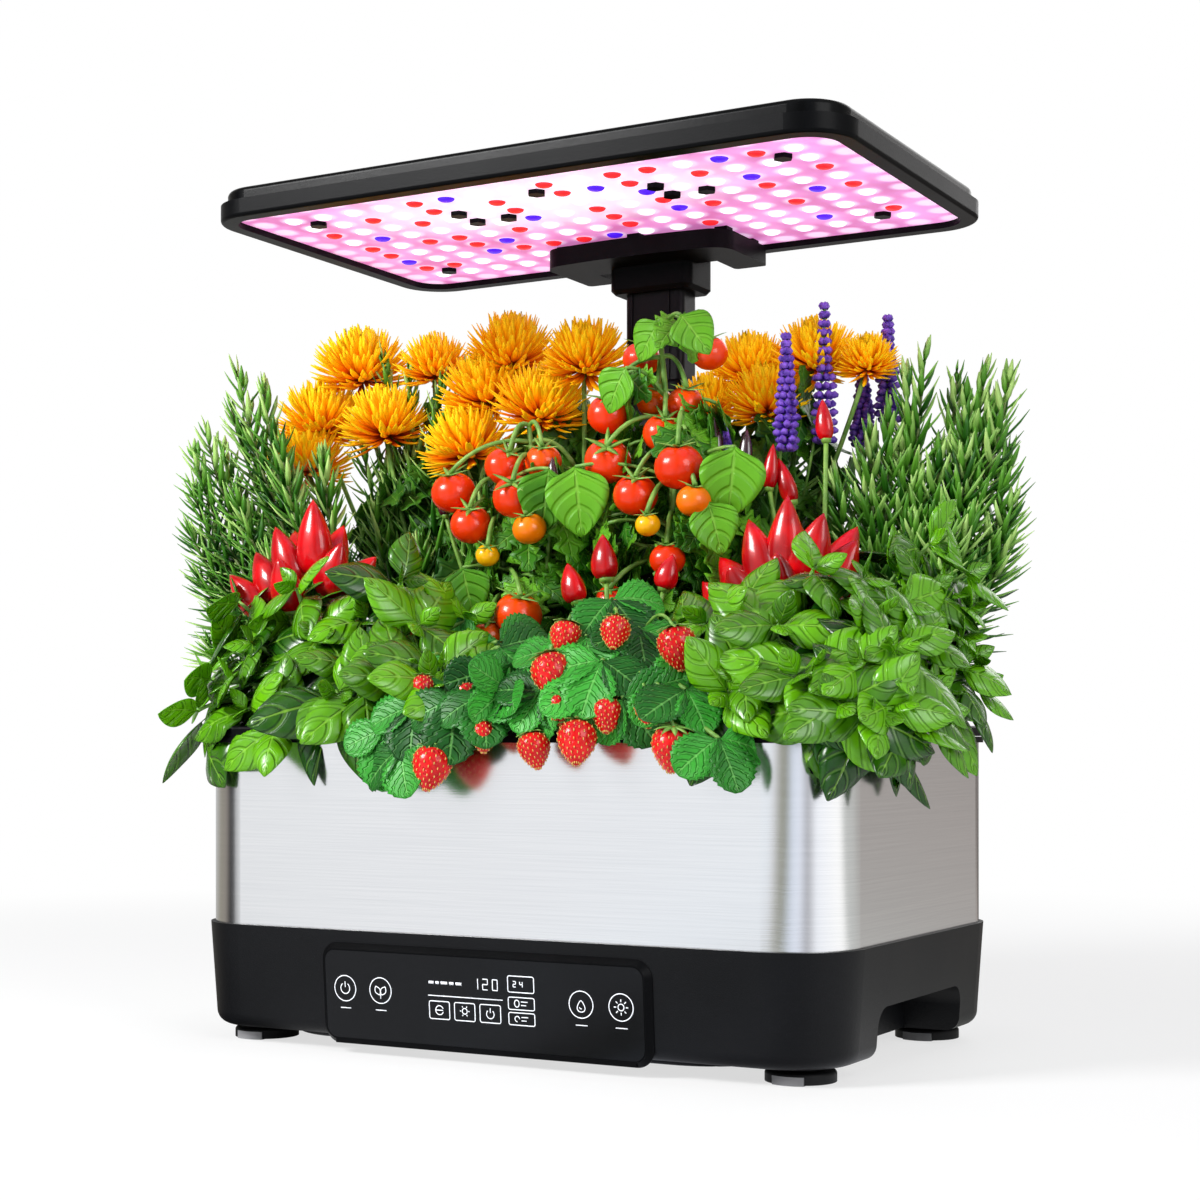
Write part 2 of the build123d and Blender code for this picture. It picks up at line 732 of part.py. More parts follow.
# Bushing: a cap on the outer tube with a plug inside it, bored for the inner tube.
with BuildPart() as mast_bushing:
    with BuildSketch(Plane.XY.offset(mast_top)):
        with Locations((0, mast_y)):
            RectangleRounded(
                mast_width + 2 * bushing_overhang, mast_depth + 2 * bushing_overhang,
                mast_corner + bushing_overhang)
    extrude(amount=bushing_height)
    chamfer(mast_bushing.faces().sort_by(Axis.Z)[-1].edges(), bushing_overhang)
    with BuildSketch(Plane.XY.offset(mast_top)):
        with Locations((0, mast_y)):
            RectangleRounded(mast_width - 2 * mast_wall, mast_depth - 2 * mast_wall, mast_corner - mast_wall)
    extrude(amount=-bushing_plug)
    with BuildSketch(Plane.XY.offset(mast_top - bushing_plug)):
        with Locations((0, mast_y)):
            RectangleRounded(
                inner_width + lift_gap, inner_depth + lift_gap, inner_corner + lift_gap / 2)
    extrude(amount=bushing_plug + bushing_height, mode=Mode.SUBTRACT)
finish(mast_bushing, "mast_bushing")

# Inner tube, with a shallow groove down each side of its front face.
with BuildPart() as mast_inner:
    with BuildSketch(Plane.XY.offset(inner_bottom)):
        with Locations((0, mast_y)):
            RectangleRounded(inner_width, inner_depth, inner_corner)
            RectangleRounded(
                inner_width - 2 * inner_wall, inner_depth - 2 * inner_wall, inner_corner - inner_wall,
                mode=Mode.SUBTRACT)
        with Locations((-groove_side, mast_y - inner_depth / 2), (groove_side, mast_y - inner_depth / 2)):
            Rectangle(groove_width, 2 * groove_depth, mode=Mode.SUBTRACT)
    extrude(amount=collar_bottom + collar_height - inner_bottom)
finish(mast_inner, "mast_inner")

# Guide plug in the inner tube's foot; it runs in the outer tube.
with BuildPart() as mast_guide:
    with BuildSketch(Plane.XY.offset(inner_bottom)):
        with Locations((0, mast_y)):
            RectangleRounded(
                mast_width - 2 * mast_wall - 2 * lift_gap,
                mast_depth - 2 * mast_wall - 2 * lift_gap,
                mast_corner - mast_wall - lift_gap,
            )
    extrude(amount=-guide_length / 2)
    with BuildSketch(Plane.XY.offset(inner_bottom)):
        with Locations((0, mast_y)):
            RectangleRounded(
                inner_width - 2 * (inner_wall + fit_gap), inner_depth - 2 * (inner_wall + fit_gap),
                inner_corner - inner_wall - fit_gap)
    extrude(amount=guide_length / 2)
    with BuildSketch(Plane.XY.offset(inner_bottom - guide_length / 2)):
        with Locations((0, mast_y)):
            Circle(guide_bore)
    extrude(amount=guide_length, mode=Mode.SUBTRACT)
finish(mast_guide, "mast_guide")

# ================= lamp =================

# Bracket: a bowed plate with two arms behind, and the collar that holds the inner tube.
with BuildPart() as lamp_bracket:
    with BuildSketch(Plane.XY.offset(bracket_bottom)):
        half = bracket_width / 2
        front = mast_y - bracket_front
        back = mast_y + bracket_back
        notch = half - arm_width
        with BuildLine():
            Polyline((half, front), (half, back), (notch, back), (notch, back - arm_notch),
                     (-notch, back - arm_notch), (-notch, back), (-half, back), (-half, front))
            ThreePointArc((-half, front), (0, front - bracket_bow), (half, front))
        make_face()
    extrude(amount=bracket_thickness)
    fillet(lamp_bracket.edges().filter_by(Axis.Z).sort_by(Axis.Y)[:2], bracket_corner)
    fillet(lamp_bracket.edges().filter_by(Axis.Z).sort_by(Axis.Y)[-4:], arm_rounding)
    with BuildSketch(Plane.XY.offset(collar_bottom)):
        with Locations((0, mast_y)):
            RectangleRounded(collar_width, collar_depth, collar_corner)
    extrude(amount=collar_height + bracket_thickness)
    chamfer(lamp_bracket.faces().sort_by(Axis.Z)[0].edges(), collar_chamfer)
    with BuildSketch(Plane.XY.offset(collar_bottom)):
        with Locations((0, mast_y)):
            RectangleRounded(inner_width + fit_gap / 2, inner_depth + fit_gap / 2, inner_corner)
    extrude(amount=collar_height, mode=Mode.SUBTRACT)
    # spacers up to the board
    with BuildSketch(Plane.XY.offset(lamp_bottom)):
        with Locations(*[(x * (half - spacer_size), y) for x in (-1, 1)
                         for y in (front + bracket_corner, back - spacer_size)], (0, front + bracket_bow)):
            Rectangle(spacer_size, spacer_size)
    extrude(amount=board_recess)
finish(lamp_bracket, "lamp_bracket")

# Lower frame: a lip under the board, a sloped band inside it and a wall round it.
with BuildPart() as lamp_frame:
    with BuildSketch(Plane.XY.offset(lamp_bottom)):
        with Locations((0, lamp_y)):
            RectangleRounded(lamp_width, lamp_depth, lamp_corner)
    extrude(amount=frame_height)
    fillet(lamp_frame.faces().sort_by(Axis.Z)[0].edges(), frame_rounding)
    with BuildSketch(Plane.XY.offset(lamp_bottom)) as lip_mouth:
        with Locations((0, lamp_y)):
            RectangleRounded(lamp_width - 2 * frame_lip, lamp_depth - 2 * frame_lip, lamp_corner - frame_lip)
    with BuildSketch(Plane.XY.offset(board_bottom)) as band_mouth:
        with Locations((0, lamp_y)):
            RectangleRounded(
                lamp_width - 2 * (frame_lip + frame_band), lamp_depth - 2 * (frame_lip + frame_band),
                lamp_corner - frame_lip - frame_band)
    loft(sections=[lip_mouth.sketch.faces()[0], band_mouth.sketch.faces()[0]], mode=Mode.SUBTRACT)
    with BuildSketch(Plane.XY.offset(board_bottom)):
        with Locations((0, lamp_y)):
            RectangleRounded(
                lamp_width - 2 * (hood_inset + hood_wall), lamp_depth - 2 * (hood_inset + hood_wall),
                lamp_corner - hood_inset - hood_wall)
    extrude(amount=frame_height, mode=Mode.SUBTRACT)
finish(lamp_frame, "lamp_frame")

# Hood: a shallow shell on the frame, closed above.
with BuildPart() as lamp_hood:
    with BuildSketch(Plane.XY.offset(frame_top)):
        with Locations((0, lamp_y)):
            RectangleRounded(lamp_width - 2 * hood_inset, lamp_depth - 2 * hood_inset, lamp_corner - hood_inset)
    extrude(amount=hood_height)
    fillet(lamp_hood.faces().sort_by(Axis.Z)[-1].edges(), hood_rounding)
    with BuildSketch(Plane.XY.offset(frame_top)):
        with Locations((0, lamp_y)):
            RectangleRounded(
                lamp_width - 2 * (hood_inset + hood_wall), lamp_depth - 2 * (hood_inset + hood_wall),
                lamp_corner - hood_inset - hood_wall)
    extrude(amount=hood_height - hood_wall, mode=Mode.SUBTRACT)
finish(lamp_hood, "lamp_hood")

board_margin = hood_inset + hood_wall + fit_gap
with BuildPart() as led_board:
    with BuildSketch(Plane.XY.offset(board_bottom)):
        with Locations((0, lamp_y)):
            RectangleRounded(
                lamp_width - 2 * board_margin, lamp_depth - 2 * board_margin, lamp_corner - board_margin)
    extrude(amount=board_thickness)
finish(led_board, "led_board")

# LEDs: a grid of caps under the board; red and blue ones are scattered among the white.
red_leds = {(0, 1), (1, 1), (15, 1), (4, 2), (5, 2), (6, 2), (10, 2), (0, 3), (3, 3), (8, 3), (13, 3),
            (0, 4), (2, 4), (3, 4), (5, 4), (8, 4), (11, 4), (15, 4), (8, 5), (10, 5), (13, 5), (0, 6),
            (3, 6), (6, 6), (15, 6), (2, 7), (4, 7), (6, 7), (8, 7), (10, 7), (12, 7), (4, 8), (8, 8),
            (10, 8), (11, 8), (14, 8)}
blue_leds = {(13, 1), (0, 2), (3, 2), (7, 2), (4, 3), (10, 4), (14, 4), (1, 5), (6, 5), (10, 6), (13, 6),
             (9, 7), (5, 8), (13, 8)}
all_leds = {(column, row) for column in range(led_columns) for row in range(led_rows)}
bracket_leds = {(column, row) for column in range(5, 11) for row in range(0, 2)}


def led_place(column, row):
    """Middle of one LED: columns count from the left, rows from the back."""
    x = (column - (led_columns - 1) / 2) * led_pitch_x
    y = lamp_y + ((led_rows - 1) / 2 - row) * led_pitch_y
    return x, y


for name, places in (
    ("led_white", all_leds - red_leds - blue_leds - bracket_leds),
    ("led_red", red_leds),
    ("led_blue", blue_leds),
):
    with BuildPart() as leds:
        with BuildSketch(Plane.XY.offset(board_bottom)):
            with Locations(*[led_place(*place) for place in sorted(places)]):
                RegularPolygon(led_radius, 6)
        extrude(amount=-led_height)
    finish(leds, name)

# Hex standoffs that clamp the board, half-way between the LEDs.
standoff_places = [(0.5, 0.5), (14.5, 0.5), (0.5, 7.5), (14.5, 7.5), (4.5, 5.5), (5.5, 5.5), (4.5, 6.5),
                   (10.5, 5.5), (11.5, 5.5), (10.5, 6.5), (7.5, 7.5)]
with BuildPart() as lamp_screws:
    with BuildSketch(Plane.XY.offset(board_bottom)):
        with Locations(*[led_place(*place) for place in standoff_places]):
            RegularPolygon(standoff_radius, 6)
    extrude(amount=-standoff_height)
finish(lamp_screws, "lamp_screws")

with BuildPart() as led_driver:
    with BuildSketch(Plane.XY.offset(board_top)):
        with Locations((0, mast_y - driver_back)):
            RectangleRounded(driver_width, driver_depth, driver_corner)
    extrude(amount=driver_height)
finish(led_driver, "led_driver")

# ================= grow deck =================

columns = [(index - 1.5) * pitch_x for index in range(4)]
rows = {"a": -pitch_y, "b": 0.0, "c": pitch_y}
pod_places = [(x, y) for y in rows.values() for x in columns]
skirt = tank_wall + skirt_gap
with BuildPart() as grow_deck:
    with BuildSketch(Plane.XY.offset(deck_bottom)):
        RectangleRounded(
            sleeve_width + 2 * flange_overhang,
            sleeve_depth + 2 * flange_overhang,
            sleeve_corner + flange_overhang,
        )
    extrude(amount=deck_edge_top - deck_bottom)
    fillet(grow_deck.faces().sort_by(Axis.Z)[-1].edges(), deck_rounding)
    with BuildSketch(Plane.XY.offset(deck_top)):
        RectangleRounded(
            sleeve_width + 2 * (flange_overhang - deck_bead),
            sleeve_depth + 2 * (flange_overhang - deck_bead),
            sleeve_corner + flange_overhang - deck_bead,
        )
    extrude(amount=deck_edge_top - deck_top, mode=Mode.SUBTRACT)
    # locating skirt inside the tank's mouth
    add(rounded_outline(
        tank_width - 2 * skirt, tank_depth - 2 * skirt, tank_corner - skirt,
        deck_bottom - deck_skirt, channel_width + 2 * skirt, channel_front - skirt))
    extrude(amount=deck_skirt)
    add(rounded_outline(
        tank_width - 2 * (skirt + skirt_wall), tank_depth - 2 * (skirt + skirt_wall),
        tank_corner - skirt - skirt_wall, deck_bottom - deck_skirt,
        channel_width + 2 * (skirt + skirt_wall), channel_front - skirt - skirt_wall))
    extrude(amount=deck_skirt, mode=Mode.SUBTRACT)
    # ribs between the pods
    with BuildSketch(Plane.XY.offset(deck_bottom - deck_skirt)):
        with Locations((0, -pitch_y / 2), (0, pitch_y / 2)):
            Rectangle(tank_width - 2 * (skirt + cross_rib_gap), rib_thickness)
        with Locations(*[(x, cross_rib_gap + skirt - tank_depth / 2) for x in (-pitch_x, 0, pitch_x)]):
            Rectangle(rib_thickness, tank_depth / 2 + pitch_y / 2 + rib_thickness / 2 - skirt - cross_rib_gap,
                      align=(Align.CENTER, Align.MIN))
    extrude(amount=deck_skirt)
    # raised guide of the float, and a rim round the mast
    with BuildSketch(Plane.XY.offset(deck_top)):
        with Locations((float_x, float_y)):
            Circle(float_collar)
        with Locations((0, mast_y)):
            Rectangle(mast_width + 2 * (rim_gap + rim_wall), mast_depth + 2 * (rim_gap + rim_wall))
    extrude(amount=float_collar_height)
    with BuildSketch(Plane.XY.offset(deck_bottom)):
        with Locations(*pod_places):
            Circle(hole_radius)
        with Locations((fill_x, fill_y)):
            RectangleRounded(fill_size, fill_size, fill_corner)
        with Locations((float_x, float_y)):
            Circle(float_stem + lift_gap)
        with Locations((0, mast_y)):
            Rectangle(mast_width + 2 * rim_gap, mast_depth + 2 * rim_gap)
    extrude(amount=deck_thickness + float_collar_height, mode=Mode.SUBTRACT)
    # hinge posts of the fill lid
    lid_width = fill_size + 2 * lid_overlap
    knuckle_x = lid_width / 2 + knuckle_width / 2 + lift_gap
    for side in (-1, 1):
        with BuildSketch(Plane.YZ.offset(fill_x + side * knuckle_x - knuckle_width / 2)):
            with Locations((lid_axis_y, lid_axis_z)):
                Circle(lid_barrel)
            with Locations((lid_axis_y, deck_top)):
                Rectangle(2 * lid_barrel, lid_axis_rise, align=(Align.CENTER, Align.MIN))
            with Locations((lid_axis_y, lid_axis_z)):
                Circle(pin_radius, mode=Mode.SUBTRACT)
        extrude(amount=knuckle_width)
finish(grow_deck, "grow_deck")

# Fill lid: a plate with a finger tab in front and a barrel behind.
lid_bottom = deck_top + lift_gap
with BuildPart() as fill_lid:
    lid_front = fill_y - fill_size / 2 - lid_overlap
    with BuildSketch(Plane.XY.offset(lid_bottom)):
        with Locations((fill_x, lid_front)):
            Rectangle(lid_width, lid_axis_y - lid_front, align=(Align.CENTER, Align.MIN))
        with Locations((fill_x, lid_front)):
            Circle(lid_tab)
    extrude(amount=lid_thickness)
    with BuildSketch(Plane.YZ.offset(fill_x - lid_width / 2)):
        with Locations((lid_axis_y, lid_axis_z)):
            Circle(lid_barrel)
    extrude(amount=lid_width)
    with BuildSketch(Plane.YZ.offset(fill_x - lid_width / 2)):
        with Locations((lid_axis_y, lid_axis_z)):
            Circle(pin_radius + running_gap)
    extrude(amount=lid_width, mode=Mode.SUBTRACT)
finish(fill_lid, "fill_lid")

with BuildPart() as lid_pin:
    with BuildSketch(Plane.YZ.offset(fill_x - knuckle_x - knuckle_width / 2)):
        with Locations((lid_axis_y, lid_axis_z)):
            Circle(pin_radius)
    extrude(amount=2 * knuckle_x + knuckle_width)
finish(lid_pin, "lid_pin")

# Float: a buoyant body under the deck, its stem and cap showing above.
float_cap_bottom = deck_top + float_collar_height + lift_gap
with BuildPart() as float_indicator:
    with BuildSketch(Plane.XY.offset(float_bottom)):
        with Locations((float_x, float_y)):
            Circle(float_radius)
    extrude(amount=float_height)
    chamfer(float_indicator.edges().filter_by(GeomType.CIRCLE), float_chamfer)
    with BuildSketch(Plane.XY.offset(float_bottom + float_height)):
        with Locations((float_x, float_y)):
            Circle(float_stem)
    extrude(amount=float_cap_bottom - float_bottom - float_height)
    with BuildSketch(Plane.XY.offset(float_cap_bottom)):
        with Locations((float_x, float_y)):
            Circle(float_cap)
    extrude(amount=float_cap_height)
finish(float_indicator, "float_indicator")

# ================= pods =================

# Net cup: a tapered, slotted cup that hangs by its collar in the deck.
with BuildPart() as net_cup:
    with BuildSketch(Plane.XZ):
        with BuildLine():
            Polyline(
                (0, cup_bottom), (cup_bottom_radius, cup_bottom), (cup_radius, collar_seat),
                (cup_collar, collar_seat), (cup_collar, collar_seat + cup_collar_thickness),
                (cup_radius - cup_wall, collar_seat + cup_collar_thickness),
                (cup_bottom_radius - cup_wall, cup_bottom + cup_wall), (0, cup_bottom + cup_wall),
                (0, cup_bottom),
            )
        make_face()
    revolve(axis=Axis.Z)
    with BuildSketch(Plane.XY.offset(cup_bottom + slot_bottom)):
        with PolarLocations(cup_bottom_radius, cup_slots):
            Rectangle(slot_reach, slot_width)
    extrude(amount=slot_height, mode=Mode.SUBTRACT)
    with BuildSketch(Plane.XY.offset(cup_bottom)):
        with PolarLocations(floor_slot_place, floor_slots):
            Rectangle(floor_slot_length, floor_slot_width)
    extrude(amount=cup_wall, mode=Mode.SUBTRACT)

# Growth plug: a tapered sponge that stands in the cup; each plant grows out of one.
plug_top = collar_seat + cup_collar_thickness
plug_bottom_radius = cup_bottom_radius - cup_wall - plug_gap
plug_top_radius = cup_radius - cup_wall - 2 * plug_gap
with BuildPart() as growth_plug:
    with BuildSketch(Plane.XZ):
        with BuildLine():
            Polyline(
                (0, cup_bottom + cup_wall + plug_gap), (plug_bottom_radius, cup_bottom + cup_wall + plug_gap),
                (plug_top_radius, plug_top), (0, plug_top), (0, cup_bottom + cup_wall + plug_gap),
            )
        make_face()
    revolve(axis=Axis.Z)


def ring(x, y, half_width, half_depth, height):
    """One level of a plant's outline: a flat ten-sided ellipse about (x, y)."""
    turns = [2 * pi * (index + 0.5) / 10 for index in range(10)]
    with BuildSketch(Plane.XY.offset(height)) as level:
        Polygon(*[(x + half_width * cos(turn), y + half_depth * sin(turn)) for turn in turns], align=None)
    return level.sketch


def grown(pod, level):
    """A level in the garden's frame, from one measured from its pod's middle on the soil."""
    x, y, half_width, half_depth, height = level
    return (
        pod[0] + spread_x * x, pod[1] + spread_y * y, spread_x * half_width, spread_y * half_depth,
        plug_top - soil_depth + height,
    )


def drape(pod, side, along, half_width, drop):
    """Levels of leaves that hang outside the deck's rim: from their tips up to the bush."""
    levels = []
    for height, share, thickness, lean in (
        (-drop, 0.75, 0.8, 0.0), (drape_gap, 1.0, 1.0, 0.0), (drape_rise, 1.0, 1.3, 1.0),
    ):
        out = leaf_gap + drape_depth * (1.0 - lean)
        if side == "front":
            level = (
                pod[0] + spread_x * along, -rim_y - out,
                share * half_width * spread_x, thickness * drape_depth)
        else:
            level = (
                (rim_x + out) * (1 if side == "right" else -1), pod[1] + spread_y * along,
                thickness * drape_depth, share * half_width * spread_y)
        levels.append((*level, deck_top + height))
    return levels


def flower(root, head, spread=26.0):
    """Levels of one flower: a thin stem from the leaves up to a flat, round head."""
    x, y, z = head
    return [
        (*root[:2], 3.0, 3.0, root[2]), (x, y, 3.5, 3.5, z - 16), (x, y, spread, spread * 0.75, z - 4),
        (x, y, spread * 0.9, spread * 0.68, z + 7), (x, y, 8.0, 6.0, z + 13),
    ]


def spike(root, x, y, top):
    """Levels of one flower spike: a thin stem from the leaves, then an upright taper."""
    return [
        (*root[:2], 2.0, 2.0, root[2]), (x, y, 2.5, 2.5, top - 70), (x, y, 5.5, 5.5, top - 50),
        (x, y, 1.5, 1.5, top),
    ]


# Each plant is a few simple masses of leaves, fruit and flowers. A mass is a list of levels,
# (x, y, half width, half depth, height), from its lowest to its highest, measured from its
# pod's middle on the soil. They are drawn for 92 by 68 mm pitches and follow the real ones.
spread_x = pitch_x / 92.0
spread_y = pitch_y / 68.0
plants = {
    ("a", 0, "basil_left"): [
        [(0, 0, 11, 11, 0), (-12, -18, 50, 46, 31), (-20, -24, 62, 54, 66),
         (-18, -18, 52, 46, 92), (-12, -12, 20, 18, 104)],
        [(-32, 6, 20, 20, 84), (-32, 8, 24, 24, 116), (-28, 10, 8, 8, 138)],
    ],
    ("a", 1, "strawberry_left"): [
        [(0, 0, 11, 11, 0), (0, -10, 40, 38, 22), (0, -16, 44, 46, 40),
         (0, -12, 34, 34, 56), (0, -8, 10, 10, 64)],
    ],
    ("a", 2, "strawberry_right"): [
        [(0, 0, 11, 11, 0), (0, -12, 40, 40, 24), (0, -18, 44, 48, 48),
         (0, -12, 36, 36, 62), (0, -8, 10, 10, 72)],
    ],
    ("a", 3, "basil_right"): [
        [(0, 0, 11, 11, 0), (8, -16, 48, 44, 31), (18, -24, 62, 54, 61),
         (14, -18, 52, 46, 84), (10, -14, 18, 18, 94)],
    ],
    ("b", 0, "rosemary_left"): [
        [(0, 0, 11, 11, 0), (-27, 0, 42, 30, 41), (-52, -2, 58, 30, 91),
         (-77, -6, 48, 26, 136), (-100, -10, 32, 22, 196), (-108, -12, 20, 14, 238), (-110, -12, 8, 6, 252)],
    ],
    ("b", 1, "tomato_left"): [
        [(0, 0, 10, 10, 0), (0, 0, 38, 28, 41), (0, -1, 44, 31, 86),
         (0, -1, 44, 31, 146), (0, 0, 30, 22, 174), (4, 0, 12, 10, 186)],
    ],
    ("b", 2, "tomato_right"): [
        [(0, 0, 10, 10, 0), (0, 0, 38, 28, 41), (0, -1, 44, 31, 96),
         (0, -1, 42, 31, 171), (0, 0, 26, 20, 204), (-2, 0, 10, 8, 218)],
    ],
    ("b", 3, "pepper_right"): [
        [(0, 0, 10, 10, 0), (12, 0, 54, 30, 36), (12, 0, 56, 31, 76),
         (2, -1, 44, 30, 111), (-4, -3, 30, 22, 131), (-4, -3, 8, 8, 144)],
    ],
    ("c", 0, "mum_left"): [
        [(0, 0, 10, 10, 0), (-4, 6, 36, 30, 41), (-12, 8, 46, 34, 106),
         (-14, 8, 42, 34, 148), (-14, 4, 20, 18, 164)],
        flower((-37, 2, 126), (-76, -2, 234)), flower((-27, 6, 126), (-25, 6, 228)),
        flower((-2, -2, 126), (7, -10, 212)), flower((-34, 0, 116), (-69, -12, 192)),
        flower((-17, -2, 116), (-20, -12, 186)), flower((-32, 0, 96), (-88, -10, 162)),
        flower((8, -2, 116), (19, -12, 174)),
    ],
    ("c", 1, "mum_middle"): [
        [(0, 0, 9, 9, 0), (-4, 0, 26, 26, 41), (-10, 0, 31, 30, 96),
         (-12, 0, 31, 30, 146), (-12, -2, 16, 16, 162)],
        flower((-16, 0, 126), (-31, 2, 234)), flower((1, -8, 126), (4, -12, 210), 15.0),
        flower((-16, -8, 116), (-25, -12, 194), 20.0),
    ],
    ("c", 2, "mum_right"): [
        [(0, 0, 9, 9, 0), (0, 0, 19, 22, 54), (14, 0, 33, 30, 98),
         (16, 0, 34, 32, 144), (16, -2, 18, 16, 162)],
        flower((14, -4, 126), (14, -2, 222)), flower((26, -2, 126), (52, 0, 218)),
        flower((24, -8, 116), (30, -12, 190), 24.0), flower((4, -8, 116), (0, -14, 182), 18.0),
        flower((34, -6, 106), (72, -6, 200), 25.0),
        spike((32, 12, 116), 55, 26, 250), spike((18, 16, 116), 30, 27, 236),
    ],
    ("c", 3, "rosemary_right"): [
        [(0, 0, 10, 10, 0), (12, 4, 30, 28, 58), (38, 8, 42, 34, 116),
         (54, 10, 40, 36, 171), (59, 10, 38, 36, 208), (60, 10, 18, 18, 226)],
    ],
}

# Leaves over the rim: the side, their place along it from the pod, half width and drop.
drapes = {
    "basil_left": [("front", -27, 30, 24), ("left", -24, 30, 22)],
    "strawberry_left": [("front", -12, 32, 22)],
    "strawberry_right": [("front", -2, 38, 26)],
    "basil_right": [("front", 14, 40, 29), ("right", -20, 38, 26)],
    "pepper_right": [("right", 0, 29, 24)],
}

for (row, column, name), masses in plants.items():
    pod = (columns[column], rows[row])
    with BuildPart() as cup:
        with Locations((*pod, 0)):
            add(net_cup.part)
    finish(cup, f"net_cup_{row}{column + 1}")
    with BuildPart() as plant:
        with Locations((*pod, 0)):
            add(growth_plug.part)
        for levels in masses:
            loft(sections=[ring(*grown(pod, level)) for level in levels], ruled=True)
        for leaves in drapes.get(name, ()):
            loft(sections=[ring(*level) for level in drape(pod, *leaves)], ruled=True)
    finish(plant, f"plant_{name}")
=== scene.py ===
import bmesh
import bpy
import numpy as np
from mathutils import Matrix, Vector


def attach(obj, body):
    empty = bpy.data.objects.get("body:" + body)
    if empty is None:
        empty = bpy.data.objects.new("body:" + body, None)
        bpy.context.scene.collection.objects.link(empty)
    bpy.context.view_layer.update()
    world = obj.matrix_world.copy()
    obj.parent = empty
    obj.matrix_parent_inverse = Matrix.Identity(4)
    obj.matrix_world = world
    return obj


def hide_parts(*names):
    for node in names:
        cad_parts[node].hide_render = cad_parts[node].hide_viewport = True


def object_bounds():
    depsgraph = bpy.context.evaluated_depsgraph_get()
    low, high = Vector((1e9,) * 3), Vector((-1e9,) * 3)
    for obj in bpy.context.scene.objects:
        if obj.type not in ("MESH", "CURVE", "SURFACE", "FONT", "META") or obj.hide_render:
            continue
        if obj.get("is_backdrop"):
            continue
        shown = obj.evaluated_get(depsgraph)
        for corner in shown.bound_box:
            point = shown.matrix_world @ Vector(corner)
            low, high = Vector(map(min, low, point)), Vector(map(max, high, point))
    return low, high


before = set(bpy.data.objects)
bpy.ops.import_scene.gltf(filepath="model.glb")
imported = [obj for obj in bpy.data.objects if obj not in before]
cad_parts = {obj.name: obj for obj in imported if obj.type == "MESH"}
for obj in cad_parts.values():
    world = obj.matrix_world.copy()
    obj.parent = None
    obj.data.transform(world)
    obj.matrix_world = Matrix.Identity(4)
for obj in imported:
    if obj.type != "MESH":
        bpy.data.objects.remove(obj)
cad_box = [list(corner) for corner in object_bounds()]
scene = bpy.context.scene
MM = 0.001

# ---- camera: level, turned a third of a right angle to the left. The picture is shifted up
# in it, so that upright edges stay upright.
camera = bpy.data.cameras.new("camera")
camera.lens = 63.49
camera.sensor_width = 36.0
camera.shift_y = 0.1159
camera.clip_end = 30.0
eye = bpy.data.objects.new("camera", camera)
eye.location = (0.5897, -1.05488, 0.16957)
eye.rotation_euler = (np.pi / 2, 0.0, np.radians(29.107))
scene.collection.objects.link(eye)
scene.camera = eye
scene.view_settings.view_transform = "Standard"


class Shade:
    """One socket of a node tree. Sums and products of sockets and numbers add Math nodes."""

    def __init__(self, tree, socket=None):
        self.tree = tree
        self.socket = socket

    def node(self, kind, settings=None, inputs=None, output=0):
        """Adds a node: its settings first, then the values or links of its sockets."""
        made = self.tree.nodes.new(kind)
        for name, value in (settings or {}).items():
            if name == "stops":
                ramp = made.color_ramp.elements
                for index, (place, colour) in enumerate(value):
                    stop = ramp[index] if index < len(ramp) else ramp.new(place)
                    stop.position = place
                    stop.color = (*colour, 1.0)
            else:
                setattr(made, name, value)
        for key, value in (inputs or {}).items():
            if isinstance(value, Shade):
                self.tree.links.new(value.socket, made.inputs[key])
            elif isinstance(value, tuple) and made.inputs[key].type == "RGBA":
                made.inputs[key].default_value = (*value, 1.0)
            else:
                made.inputs[key].default_value = value
        return Shade(self.tree, made.outputs[output])

    def math(self, operation, other=0.5):
        """A Math node: this socket first, then the other value where it takes two."""
        return self.node("ShaderNodeMath", {"operation": operation}, {0: self, 1: other})

    def __add__(self, other):
        return self.math("ADD", other)

    def __sub__(self, other):
        return self.math("SUBTRACT", other)

    def __rsub__(self, other):
        return self.math("MULTIPLY", -1.0).math("ADD", other)

    def __mul__(self, other):
        return self.math("MULTIPLY", other)

    def __truediv__(self, other):
        return self.math("DIVIDE", other)

    def __pow__(self, other):
        return self.math("POWER", other)

    __radd__ = __add__
    __rmul__ = __mul__

    def part(self, axis):
        """One coordinate of a vector: 0, 1 or 2."""
        return self.node("ShaderNodeSeparateXYZ", {}, {0: self}, axis)

    def scaled(self, x, y, z):
        """The vector with each coordinate times its own number."""
        return self.node("ShaderNodeVectorMath", {"operation": "MULTIPLY"}, {0: self, 1: (x, y, z)})

    def noise(self, scale, detail=2.0, roughness=0.5):
        """Soft clouds, 0 to 1, of that many lumps a metre."""
        return self.node("ShaderNodeTexNoise", {}, {
            "Vector": self, "Scale": scale, "Detail": detail, "Roughness": roughness})

    def step(self, low, high):
        """0 below low, 1 above high, and smooth between."""
        return self.node(
            "ShaderNodeMapRange", {"interpolation_type": "SMOOTHSTEP"},
            {"Value": self, "From Min": low, "From Max": high})

    def mix(self, first, second):
        """From the first colour at 0 to the second at 1."""
        return self.node("ShaderNodeMix", {"data_type": "RGBA"}, {0: self, 6: first, 7: second}, 2)

    def ramp(self, stops):
        return self.node("ShaderNodeValToRGB", {"stops": stops}, {0: self})

    def bump(self, depth):
        """A normal from this height; depth is in metres for a height of 1."""
        return self.node("ShaderNodeBump", {}, {"Height": self, "Distance": depth, "Strength": 1.0})


def azimuth(direction):
    """Compass angle of a direction, from 0 at -X round through -Y, +X and +Y to 1."""
    return direction.part(1).math("ARCTAN2", direction.part(0)) / (2 * np.pi) + 0.5


